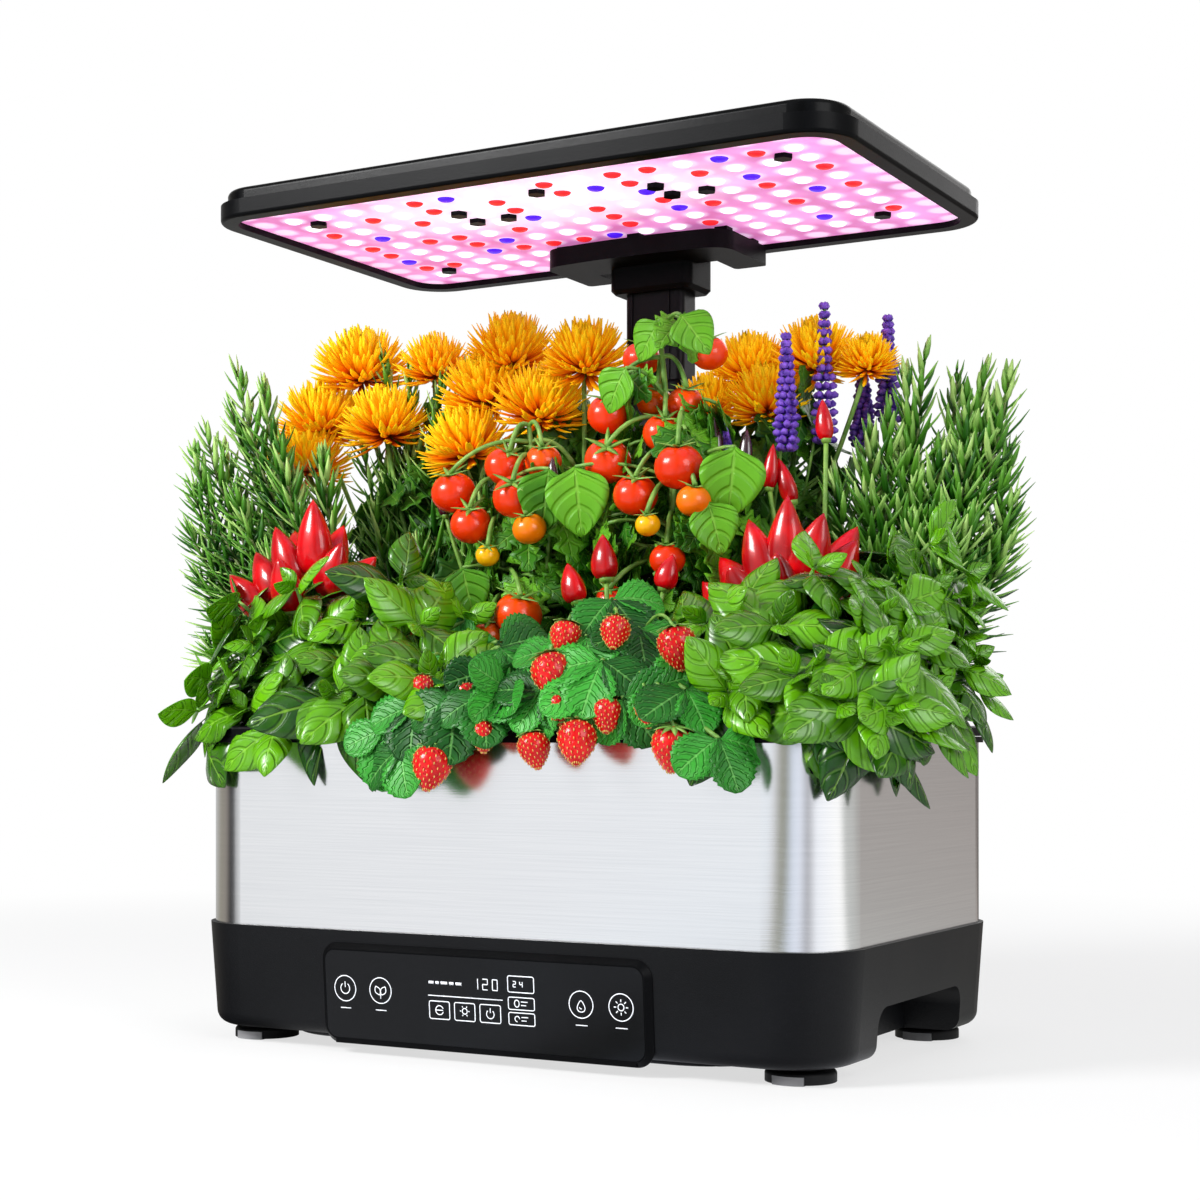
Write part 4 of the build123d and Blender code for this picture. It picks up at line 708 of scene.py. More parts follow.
def leaf_finish(name, dark, light, rib, gloss, veins, skew, puff, coat=0.0):
    """A leaf: a shade of green by chance, darker on the older basil leaves partly by painted shade,
    a pale midrib, and side veins that run from it towards the tip, with the flesh swelling between them."""
    def paint(at):
        t, s, chance = (tint(axis)(at) for axis in (0, 1, 2))
        out = t.math("ABSOLUTE")
        wave = ((s * veins - out ** 1.4 * skew) * (2 * np.pi)).math("SINE")
        vein = wave.step(0.8, 1.0) * (1.0 - out.step(0.75, 1.0))
        midrib = 1.0 - out.step(0.02, 0.08)
        shade = (chance * 0.75 + at.noise(90.0, 2.0) * 0.4).step(0.15, 1.0)
        colour = (vein * 0.14 + midrib * 0.4).mix(shade.mix(dark, light), rib)
        height = (1.0 - wave.step(0.1, 1.0)) * (1.0 - midrib) * puff
        return {"Base Color": colour, "Roughness": at.noise(140.0) * 0.14 + (gloss - 0.07),
                "Normal": height.bump(0.0011)}

    return finish(name, {"Coat Weight": coat, "Coat Roughness": 0.22, "Specular IOR Level": 0.3}, paint)


def stem_finish(name, low, high):
    """A stem: mottled between two greens, with fine furrows."""
    return finish(name, {"Roughness": 0.5}, lambda at: {
        "Base Color": at.noise(130.0, 3.0).step(0.3, 0.7).mix(low, high),
        "Normal": at.noise(600.0).bump(0.0002)})


green_stem = stem_finish("green_stem", (0.1, 0.27, 0.03), (0.24, 0.46, 0.08))
basil_leaf = leaf_finish(
    "basil_leaf", (0.006, 0.06, 0.001), (0.14, 0.45, 0.004), (0.32, 0.66, 0.06),
    gloss=0.25, veins=4.0, skew=1.3, puff=1.0, coat=0.3)


def egg(s):
    """Egg-shaped with a short stalk: the sine of s^0.78, drawn out to a tip."""
    body = np.clip((s - 0.1) / 0.9, 0, 1)
    return 0.035 + np.sin(np.pi * body**0.78) ** 0.8 * (1 - 0.12 * body) * (body > 0)


def basil(cell, tips, seed, core, size):
    """Stems from the plug to each tip. There, four pairs of leaves stand crosswise and open
    round the stem, the youngest pair nearly shut and the oldest hanging back."""
    chance = np.random.default_rng(seed)
    tips = np.asarray(tips, float)
    count = len(tips)
    root = rooted(cell, count, 6, chance)
    bow = 0.35 * root + 0.65 * tips
    bow[:, 2] = np.maximum(tips[:, 2] * 0.7 + root[:, 2] * 0.3, 192) + 10
    path = curve(root, bow, tips, 14)
    stems = tubes(path, np.linspace(2.0, 1.1, 14), 6)
    axis = outward(tips, middle[cell] + [*core, 0.0], 0.75, 0.18, chance)
    spin = chance.uniform(0, 2 * np.pi, count)
    made = []
    # each pair: how far below the tip, its turn, how far it opens, its length and its bend
    for back, turn, opened, long, bend in (
        (0, 0.0, 24, 0.4, 20), (1, 1.5, 52, 0.8, 35), (6, 0.25, 78, 1.05, 38), (15, 1.8, 98, 1.0, 30),
    ):
        for half in (0.0, np.pi):
            way, face = around(axis, spin + turn + half + chance.normal(0, 0.16, count),
                               np.radians(opened + chance.normal(0, 7, count)))
            length = size * long * 43 * chance.uniform(0.86, 1.14, count)
            # older pairs further down are darker: partly their own deeper green, partly painted shade for
            # the inside of the bush
            made.append(blades(
                tips - axis * back, way - [0, 0, 0.3], face, np.radians(bend + chance.normal(0, 10, count)),
                length, length * 0.32, egg, 14, 7, -0.3, chance, 0.7 - back * 0.035))
    return stems, leafy(*made)


basil_tips = {
    "a1": [(-200, -72, 250), (-128, -90, 228), (-82, -75, 258), (-62, -88, 232), (-180, -104, 202),
           (-160, -114, 186), (-132, -122, 178), (-152, -80, 256), (-98, -104, 210), (-56, -114, 200),
           (-34, -108, 208), (-94, -120, 194), (-176, -88, 224), (-106, -76, 236), (-66, -98, 214),
           (-14, -108, 198), (-171, -60, 238), (-136, -50, 248), (-76, -120, 196), (-202, -94, 204),
           (-34, -118, 200), (-202, -106, 186), (-56, -50, 236), (-214, -58, 222)],
    "a4": [(132, -86, 236), (160, -102, 226), (187, -60, 250), (166, -74, 254), (206, -110, 204),
           (200, -124, 186), (216, -116, 182), (178, -120, 200), (216, -96, 212), (202, -80, 226),
           (218, -84, 216), (220, -66, 190), (128, -80, 222), (116, -92, 228), (220, -106, 186),
           (186, -112, 202), (206, -52, 238), (218, -60, 220), (110, -104, 214), (148, -116, 200),
           (104, -76, 224), (142, -122, 192), (221, -86, 180), (222, -52, 182)],
    "b4": [(200, 0, 272), (216, 10, 256), (218, 6, 238), (206, -14, 247), (220, -8, 222), (222, -16, 206),
           (218, -24, 194), (184, -6, 256), (208, 0, 246), (222, 12, 196), (190, -22, 240), (222, 2, 212)],
}
for cell, seed, core, size in (
    ("a1", 11, (0, 14), 1.04), ("a4", 12, (-6, 16), 1.0), ("b4", 13, (-8, 4), 0.88),
):
    stems, leaves = basil(cell, basil_tips[cell], seed, core, size)
    grow("basil_stems", cell, green_stem, stems)
    grow("basil_leaves", cell, basil_leaf, leaves, thickness=0.35)

# ---- rosemary: woody upright shoots from the plug, crowded with narrow folded needles that
# are dark at their foot and pale at their tip.
needle_green = finish("rosemary_needle", {"Specular IOR Level": 0.3}, lambda at: {
    "Base Color": tint(2)(at).ramp([
        (0.0, (0.004, 0.035, 0.003)), (0.35, (0.022, 0.13, 0.007)),
        (0.7, (0.12, 0.36, 0.03)), (1.0, (0.46, 0.72, 0.2))]),
    "Roughness": at.noise(300.0) * 0.2 + 0.26})
woody_stem = stem_finish("woody_stem", (0.08, 0.13, 0.03), (0.18, 0.24, 0.07))


def rosemary(cell, tips, lean_in, seed):
    """Shoots from the plug to each tip; needles leave them in a spiral, steeper near the tip."""
    chance = np.random.default_rng(seed)
    tips = np.asarray(tips, float)
    count = len(tips)
    root = rooted(cell, count, 8, chance)
    bow = (root * [0.25, 0.25, 0.6] + tips * [0.75, 0.75, 0.4]
           + chance.normal(0, 5, (count, 3)) * [1, 1, 0] + lean_in)
    path = curve(root, bow, tips, 24)
    stems = tubes(path, np.linspace(1.7, 0.7, 24), 5)
    per_shoot = 84
    s = np.linspace(0.14, 1.0, per_shoot) + chance.uniform(-0.004, 0.004, (count, per_shoot))
    s = np.clip(s, 0, 1)
    low = np.minimum((s * 23).astype(int), 22)
    share = (s * 23 - low)[..., None]
    each = np.arange(count)[:, None]
    base = path[each, low] * (1 - share) + path[each, low + 1] * share
    along = unit(path[each, low + 1] - path[each, low])
    spin = (np.arange(per_shoot) * golden_angle + chance.uniform(0, 6.28, (count, 1))
            + chance.normal(0, 0.2, s.shape))
    first_side = unit(np.cross(along, [0.3, 1.0, 0.05]))
    second_side = np.cross(along, first_side)
    out = np.cos(spin)[..., None] * first_side + np.sin(spin)[..., None] * second_side
    opened = np.interp(s, [0, 0.7, 0.92, 1.0], [66, 46, 32, 12]) + chance.normal(0, 7, s.shape)
    open_angle = np.radians(opened)[..., None]
    way = np.cos(open_angle) * along + np.sin(open_angle) * out
    long = (np.interp(s, [0, 0.3, 0.85, 1.0], [25, 27, 21, 12])[..., None]
            * chance.uniform(0.85, 1.15, (*s.shape, 1)))
    tip = base + way * long + along * long * 0.16 - np.array([0, 0, 1.0]) * long * 0.05
    bowed = base + way * long * 0.5 + out * long * 0.07
    needles = curve(base.reshape(-1, 3), bowed.reshape(-1, 3), tip.reshape(-1, 3), 4)
    wide = np.broadcast_to([0.8, 1.9, 1.6, 0.35], needles.shape[:2])
    points, faces = sweep(needles, wide, wide * 0.4, 4, (0.05, 0.03, 1.0))
    tone = chance.normal(0.4, 0.22, s.size) + np.interp(s, [0, 0.5, 1.0], [-0.4, -0.02, 0.32]).ravel()
    tone = np.clip(tone, 0, 1)[:, None] + np.repeat([-0.12, -0.12, 0.0, 0.1, 0.2, 0.22], 4)
    blade = np.stack(np.broadcast_arrays(0.0, 0.0, np.clip(tone, 0, 1)), -1).reshape(-1, 3)
    return stems, (over_rim(points), faces, blade)


chance = np.random.default_rng(5)
rosemary_tips = {
    "b1": np.c_[chance.uniform(-270, -188, 32), chance.uniform(-28, 22, 32), chance.uniform(236, 350, 32)],
    "c4": np.c_[chance.uniform(134, 210, 30), chance.uniform(48, 100, 30), chance.uniform(262, 358, 30)],
    "c1": np.c_[chance.uniform(-212, -108, 24), chance.uniform(40, 90, 24), chance.uniform(284, 352, 24)],
}
rosemary_tips["b1"][:15] = [
    (-250, -12, 398), (-232, -8, 386), (-272, -14, 360), (-279, -18, 348), (-264, 0, 378), (-278, -20, 325),
    (-278, -24, 298), (-255, 4, 372), (-276, 6, 352), (-240, 10, 362), (-274, -20, 270), (-270, -10, 246),
    (-264, -20, 224), (-262, 4, 208), (-278, 0, 290)]
rosemary_tips["c4"][:14] = [
    (170, 74, 384), (202, 84, 375), (216, 84, 370), (160, 70, 372), (192, 80, 358), (208, 86, 354),
    (154, 60, 350), (144, 56, 340), (214, 88, 328), (126, 50, 314), (137, 60, 326), (218, 84, 300),
    (216, 80, 276), (184, 88, 372)]
rosemary_tips["c1"][:5] = [
    (-190, 60, 412), (-172, 64, 402), (-128, 60, 398), (-140, 52, 390), (-206, 56, 372)]
for cell, seed, lean_in in (("b1", 21, (-8, 0, 8)), ("c4", 22, (6, 2, 8)), ("c1", 23, (0, 0, 8))):
    stems, needles = rosemary(cell, rosemary_tips[cell], lean_in, seed)
    grow("rosemary_shoots", cell, woody_stem, stems)
    grow("rosemary_needles", cell, needle_green, needles)


# ---- spider mums: domes of rolled florets, rust at the heart and yellow at the tips, on
# straight stems from the plug, over a bush of matt notched leaves. The near black at the
# florets' feet is painted shade deep between them.
# the florets glow faintly in their own colours: painted light that stands in for light shining through them
floret_finish = finish("mum_floret_painted_glow", {"Specular IOR Level": 0.1, "Emission Strength": 0.1}, lambda at: {
    **dict.fromkeys(("Base Color", "Emission Color"), tint(1)(at).ramp([
        (0.0, (0.08, 0.005, 0.0)), (0.22, (0.4, 0.035, 0.0)), (0.42, (0.88, 0.2, 0.001)),
        (0.62, (0.97, 0.42, 0.002)), (1.0, (0.99, 0.68, 0.008))])),
    "Roughness": at.noise(200.0) * 0.2 + 0.4})


def mums(heads, seed):
    """Flowers: florets leave a small heart at angles from upright to below level, the outer
    ones longer, each a rolled strip that curves in at its tip."""
    chance = np.random.default_rng(seed)
    heads = np.asarray(heads, float)
    count = len(heads)
    florets = 300
    rank = (np.arange(florets) + 0.5) / florets
    size = heads[:, 3].repeat(florets)[:, None]
    axis = unit(np.array([0.05, -0.3, 1.0]) + chance.normal(0, 0.14, (count, 3))).repeat(florets, 0)
    each = (count, florets)
    turn = (np.arange(florets) * golden_angle + chance.uniform(0, 6.28, (count, 1))
            + chance.normal(0, 0.1, each))
    opened = np.interp(rank, [0, 0.25, 0.65, 0.9, 1.0], [6, 34, 66, 90, 112]) + chance.normal(0, 5, each)
    way, face = around(axis, turn.ravel(), np.radians(opened).ravel())
    long = np.interp(rank, [0, 0.3, 0.8, 1.0], [0.94, 0.98, 1.0, 0.86]) * chance.uniform(0.86, 1.1, each)
    long = long.ravel()[:, None]
    heart = heads[:, :3].repeat(florets, 0) - axis * 0.3 * size
    root = heart + 0.08 * size * way
    tip = heart + way * long * size + face * 0.06 * size
    bow = heart + 0.55 * long * size * way - face * 0.1 * size
    path = curve(root, bow, tip, 6)
    wide = size * np.array([0.022, 0.04, 0.056, 0.064, 0.056, 0.016])
    points, faces = sweep(path, wide, wide * 0.4, 4, axis[:, None])
    s = np.repeat([0, 0, 0.2, 0.4, 0.6, 0.8, 1.0, 1.0], 4)
    # a place on the colour ramp: from the near-black foot, painted shade between the florets, to the yellow
    # tip, lower on the outer florets
    shade = s + (0.1 - 0.2 * np.tile(rank, count))[:, None] + chance.normal(0, 0.07, (count * florets, 1))
    blade = np.stack(np.broadcast_arrays(0.0, np.clip(shade, 0, 1), 0.5), -1).reshape(-1, 3)
    return points, faces, blade


def lobed(s):
    """A lobed outline: broad in the middle, with three deep notches a side."""
    body = np.clip((s - 0.14) / 0.86, 0, 1)
    notches = 0.72 + 0.28 * np.cos(6 * np.pi * body + 0.6)
    return 0.03 + (body > 0) * np.sin(np.pi * body**0.8) ** 0.6 * notches


mum_leaf = leaf_finish(
    "mum_leaf", (0.012, 0.085, 0.003), (0.08, 0.29, 0.01), (0.2, 0.42, 0.05),
    gloss=0.48, veins=4.0, skew=1.0, puff=0.5)
mast_y = 80.0
beside_mast = np.array([26.0, 17.0])


def bushy(cell, low, high, spread, count, size, seed):
    """Leaves on short stalks all over an upright egg-shaped mass; spread holds its half width
    and depth, and its middle from the pod's axis. Leaves stay on their side of the mast."""
    chance = np.random.default_rng(seed)
    level = chance.uniform(0, 1, count)
    spin = chance.uniform(0, 2 * np.pi, count)
    wide = np.sin(np.pi * (0.12 + 0.8 * level)) ** 0.6 * chance.uniform(0.45, 1.0, count)
    shift = np.array([spread[2], spread[3], 0.0]) * np.minimum(1, level * 2)[:, None]
    root = middle[cell] + shift + np.stack([
        spread[0] * wide * np.cos(spin), spread[1] * wide * np.sin(spin),
        level * (high - low) + low - plug_top], -1)
    axis = middle[cell] + shift * 0.6 + np.stack([0 * level, 0 * level, 0.75 * (root[:, 2] - plug_top)], -1)
    stems = tubes(curve(axis, 0.5 * (axis + root) + [0, 0, 6], root, 6), 0.9, 4, (0.3, 0.9, 0.1))
    face = outward(root, middle[cell] + shift, 0.55, 0.3, chance)
    way = unit(np.cross(face, chance.normal(0, 1, (count, 3)))) + [0, 0, -0.35] + 0.5 * face
    length = size * chance.uniform(0.75, 1.25, count)
    bend = np.radians(chance.uniform(15, 55, count))
    leaves = blades(root, way, face, bend, length, length * 0.42, lobed, 15, 5, 0.15, chance)
    aside = np.sign(middle[cell][0])
    points = leaves[0]
    in_mast = (np.abs(points[:, 1] - mast_y) < beside_mast[1]) & (points[:, 0] * aside < beside_mast[0])
    points[in_mast, 0] = beside_mast[0] * aside
    return stems, leaves


# flowers: x, y, z of a place just above the heart, and the florets' length
mum_heads = {
    "c1": [(-212, 66, 413, 34), (-160, 74, 410, 27), (-236, 58, 380, 33), (-242, 50, 352, 32),
           (-181, 50, 372, 32), (-117, 44, 354, 32), (-111, 58, 388, 33)],
    "c2": [(-97, 66, 412, 32), (-34, 46, 400, 30), (-62, 46, 374, 33)],
    "c3": [(66, 68, 389, 27), (104, 72, 393, 29), (81, 56, 367, 28), (45, 52, 366, 24), (138, 68, 386, 20)],
}
for cell, seed, spread in (
    ("c1", 31, (52, 30, -14, 6)), ("c2", 32, (32, 30, -10, 0)), ("c3", 33, (50, 28, 32, 0)),
):
    heads = np.asarray(mum_heads[cell], float)
    grow("mum_flowers", cell, floret_finish, mums(heads, seed))
    root = np.broadcast_to(middle[cell] + [0, 0, 3], (len(heads), 3))
    below = heads[:, :3] - [0, 0, 1] * heads[:, 3:] * 0.3
    path = curve(root, 0.35 * root + 0.65 * below + [0, 0, -20], below, 14)
    stems = tubes(path, 1.5, 6)
    twigs, leaves = bushy(cell, low=188, high=366, spread=spread, count=200, size=30, seed=seed + 50)
    grow("mum_stems", cell, green_stem, joined(stems, twigs))
    grow("mum_leaves", cell, mum_leaf, leaves, thickness=0.3)


# ---- tomatoes: round glossy fruit that hang on stalks from two main stems, each under a star
# of five narrow sepals, with leaves of five leaflets between them.
skin_gloss = {"Coat Weight": 0.3, "Coat Roughness": 0.06, "Specular IOR Level": 0.25}
tomato_skin = finish("tomato_skin", skin_gloss, lambda at: {
    "Base Color": tint(2)(at).ramp([
        (0.0, (0.98, 0.5, 0.002)), (0.3, (0.96, 0.2, 0.001)), (0.6, (0.9, 0.05, 0.001)),
        (1.0, (0.68, 0.008, 0.001))]),
    "Roughness": at.noise(180.0) * 0.08 + 0.22})
sepal_green = stem_finish("sepal_green", (0.1, 0.26, 0.02), (0.24, 0.45, 0.07))
tomato_leaf = leaf_finish(
    "tomato_leaf", (0.02, 0.15, 0.003), (0.14, 0.45, 0.015), (0.3, 0.6, 0.08),
    gloss=0.42, veins=4.0, skew=1.2, puff=0.7)


def tomato_fruit(fruit, seed):
    """Fruit (x, y, z, radius, ripeness): squat globes with a hollow at the stalk, and sepals."""
    chance = np.random.default_rng(seed)
    fruit = np.asarray(fruit, float)
    count = len(fruit)
    size = fruit[:, 3:4]
    axis = unit(np.array([0.22, -0.42, 0.88]) + chance.normal(0, 0.16, (count, 3)))
    steps, sides = 17, 28
    turn = np.linspace(-np.pi / 2, np.pi / 2, steps)
    hollow = 0.16 * np.exp(-(np.cos(turn) / 0.3) ** 2) * (turn > 0)
    globe = np.stack([np.cos(turn), 0.9 * np.sin(turn) - hollow], -1)
    points, faces = turned(fruit[:, :3], axis, size[..., None] * globe, sides, 5, 0.012)
    blade = np.zeros((len(points), 3))
    paler_top = 0.06 * np.tile(np.repeat(-np.sin(turn), sides), count)
    blade[:, 2] = np.clip(np.repeat(fruit[:, 4], steps * sides) + paler_top, 0, 1)
    top = fruit[:, :3] + axis * size * 0.76
    axes, crown, sizes = axis.repeat(5, 0), top.repeat(5, 0), size.repeat(5, 0)
    spin = (np.arange(5) * 2 * np.pi / 5 + chance.uniform(0, 1.2, (count, 1))).ravel()
    way, _ = around(axes, spin, np.full(5 * count, np.pi / 2))
    reach = sizes * chance.uniform(0.8, 1.1, (5 * count, 1))
    path = curve(crown, crown + way * reach * 0.6 + axes * sizes * 0.2,
                 crown + way * reach * 1.05 + axes * sizes * 0.26, 6)
    wide = 0.13 * sizes * np.array([0.8, 1.0, 0.9, 0.7, 0.45, 0.1])
    return (points, faces, blade), sweep(path, wide, wide * 0.3, 4, axes[:, None]), top + axis * size * 0.05


# fruit: x, y, z, radius and ripeness from yellow at 0 to red at 1
tomatoes = {
    "b2": [(-88, -14, 314, 13.2, 0.75), (-72, -20, 294, 12.2, 0.7), (-41, -22, 308, 13.0, 0.75),
           (-29, -26, 289, 9.8, 0.3), (-57, -26, 275, 6.9, 0.02), (-58, -6, 328, 11.8, 0.7),
           (-34, -2, 330, 10.8, 0.55), (-53, -32, 228, 12.6, 0.5), (-34, -30, 240, 13.8, 0.6),
           (-84, -30, 246, 10.0, 0.5), (-66, 14, 330, 10, 0.6), (-24, 18, 318, 10, 0.7)],
    "b3": [(9, -2, 354, 12.2, 0.75), (14, -12, 326, 13.4, 0.7), (36, -20, 305, 12.6, 0.75),
           (63, -20, 319, 13.8, 0.8), (75, -26, 299, 9.6, 0.35), (49, -30, 287, 7.0, 0.04),
           (46, -6, 340, 11.6, 0.65), (24, 10, 386, 11.0, 0.7), (66, 12, 386, 10.4, 0.6),
           (52, 10, 358, 11.0, 0.6), (30, 14, 362, 10.4, 0.5), (58, -24, 268, 10.0, 0.8),
           (26, -30, 246, 9.0, 0.85)],
}
# single broad leaves: x, y, z, length and how far they lean aside
broad_leaves = {
    "b2": [(-16, -26, 322, 36, -0.3), (-70, -32, 268, 30, 0.5)],
    "b3": [(2, -28, 322, 40, 0.2), (96, -18, 328, 40, -0.2), (46, -10, 402, 26, -1.6),
           (60, -12, 404, 28, 1.7), (30, -20, 376, 28, -1.2), (84, -26, 298, 30, 0.6)],
}


def heart(s):
    """A heart's outline: broad near the stalk, then narrowing to a point."""
    body = np.clip((s - 0.06) / 0.94, 0, 1)
    return 0.03 + np.sin(np.pi * body**0.6) ** 0.8 * (body > 0)


arching = (0.3, 1.0, 0.15)
vine_tops = {"b2": [[-46, 2, 352], [-62, -8, 320]], "b3": [[40, 2, 396], [58, -6, 350]]}


def vine(cell, fruit_tops, leaves_at, seed):
    """A main stem up the middle with leaves of five leaflets, and stalks out to the fruit."""
    chance = np.random.default_rng(seed)
    root = middle[cell] + np.array([[0, 0, 2], [4, 3, 2]])
    top = np.array(vine_tops[cell])
    main = curve(root, 0.5 * (root + top) + [[8, 6, 0], [-8, -4, 0]], top, 20)
    near = main.reshape(-1, 3)
    ends = fruit_tops + [0, 0, 1.0]
    aside = np.linalg.norm(near[None, :, :2] - ends[:, None, :2], axis=-1)
    start = near[np.argmin(np.abs(near[None, :, 2] - ends[:, None, 2] - 16) + 0.2 * aside, 1)]
    path = curve(start, 0.4 * start + 0.6 * ends + [0, 0, 15], ends, 9)
    trusses = tubes(path, 1.4, 6, arching)
    leaves_at = np.asarray(leaves_at, float)
    count = len(leaves_at)
    start = near[np.argmin(np.abs(near[None, :, 2] - leaves_at[:, None, 2] + 10), 1)]
    rib = curve(start, 0.5 * (start + leaves_at) + [0, 0, 12], leaves_at, 8)
    face = outward(leaves_at, middle[cell], 0.5, 0.25, chance)
    face[:, 1] -= 0.2
    way = unit(rib[:, -1] - rib[:, -2]) * 0.6 + [0, 0, -0.5] + chance.normal(0, 0.3, (count, 3))
    way = unit(way - (way * unit(face)).sum(-1, keepdims=True) * unit(face))
    side = np.cross(unit(face), way)
    made = []
    # leaflets: the step of the stalk they start from, their turn and their share of the length
    for place, turn, share in (
        (7, 0.0, 1.0), (7, 0.95, 0.8), (7, -0.95, 0.8), (5, 1.2, 0.6), (5, -1.2, 0.6),
    ):
        length = 31 * share * chance.uniform(0.85, 1.15, count)
        made.append(blades(rib[:, place], np.cos(turn) * way + np.sin(turn) * side, face, np.radians(30),
                           length, length * 0.38, lobed, 17, 5, 0.12, chance))
    broad = np.array(broad_leaves[cell], float)
    start = near[np.argmin(np.abs(near[None, :, 2] - broad[:, None, 2] + 10), 1)]
    stalks = curve(start, 0.5 * (start + broad[:, :3]) + [0, 0, 10], broad[:, :3], 8)
    toward = np.array([0.35, -0.75, 0.45]) + chance.normal(0, 0.12, (len(broad), 3))
    hang = np.c_[0.5 * broad[:, 4:5], 0 * broad[:, 4:5], -1 + 0 * broad[:, 4:5]]
    made.append(blades(broad[:, :3], hang, toward, np.radians(22), broad[:, 3], broad[:, 3] * 0.44,
                       heart, 15, 9, 0.2, chance, 0.7))
    stems = joined(tubes(main, np.linspace(2.6, 1.5, 20), 7), trusses,
                   tubes(stalks, 1.1, 5, arching), tubes(rib, 1.1, 5, arching))
    return stems, leafy(*made)


first_leaves = {"b2": [(-20, -10, 300), (-30, -20, 262), (-70, -20, 262)],
                "b3": [(54, 0, 404), (24, -6, 376), (20, -22, 290)]}
for cell, seed, side, top in (("b2", 41, -46.0, 330), ("b3", 42, 46.0, 365)):
    chance = np.random.default_rng(seed)
    globes, sepals, tops = tomato_fruit(tomatoes[cell], seed)
    count = 56
    leaves_at = np.c_[side + chance.uniform(-42, 42, count), chance.uniform(-16, 28, count),
                      chance.uniform(194, top, count)]
    leaves_at[:3] = first_leaves[cell]
    stems, leaves = vine(cell, tops, leaves_at, seed)
    grow("tomatoes", cell, tomato_skin, globes)
    grow("tomato_sepals", cell, sepal_green, sepals)
    grow("tomato_stems", cell, green_stem, stems)
    grow("tomato_leaves", cell, tomato_leaf, leaves, thickness=0.3)

# ---- strawberries: toothed leaves in threes on stalks that arch out over the deck's rim, and
# red berries set with yellow seeds under a green cap.
strawberry_leaf = leaf_finish(
    "strawberry_leaf", (0.003, 0.07, 0.005), (0.05, 0.42, 0.035), (0.22, 0.62, 0.14),
    gloss=0.42, veins=6.0, skew=2.4, puff=1.0)
berry_skin = finish("berry_skin", {**skin_gloss, "Coat Roughness": 0.1}, lambda at: {
    "Base Color": at.noise(90.0).step(0.3, 0.7).mix((0.55, 0.002, 0.004), (0.82, 0.008, 0.008)),
    "Roughness": at.noise(200.0) * 0.1 + 0.26,
    "Normal": at.node(
        "ShaderNodeTexVoronoi", {}, {"Vector": at, "Scale": 420.0}).step(0.0, 0.5).bump(0.0006)})
seed_yellow = finish("seed_yellow", {"Roughness": 0.45}, lambda at: {
    "Base Color": at.noise(500.0).mix((0.6, 0.36, 0.05), (0.85, 0.62, 0.16))})


def toothed(s):
    """A rounded wedge whose edge steps in and out at every row."""
    body = np.clip((s - 0.08) / 0.92, 0, 1)
    tooth = 1 - 0.13 * (np.arange(len(s)) % 2)
    return 0.03 + (body > 0) * np.sin(np.pi * np.clip(body, 0, 0.995) ** 1.12) ** 0.55 * tooth


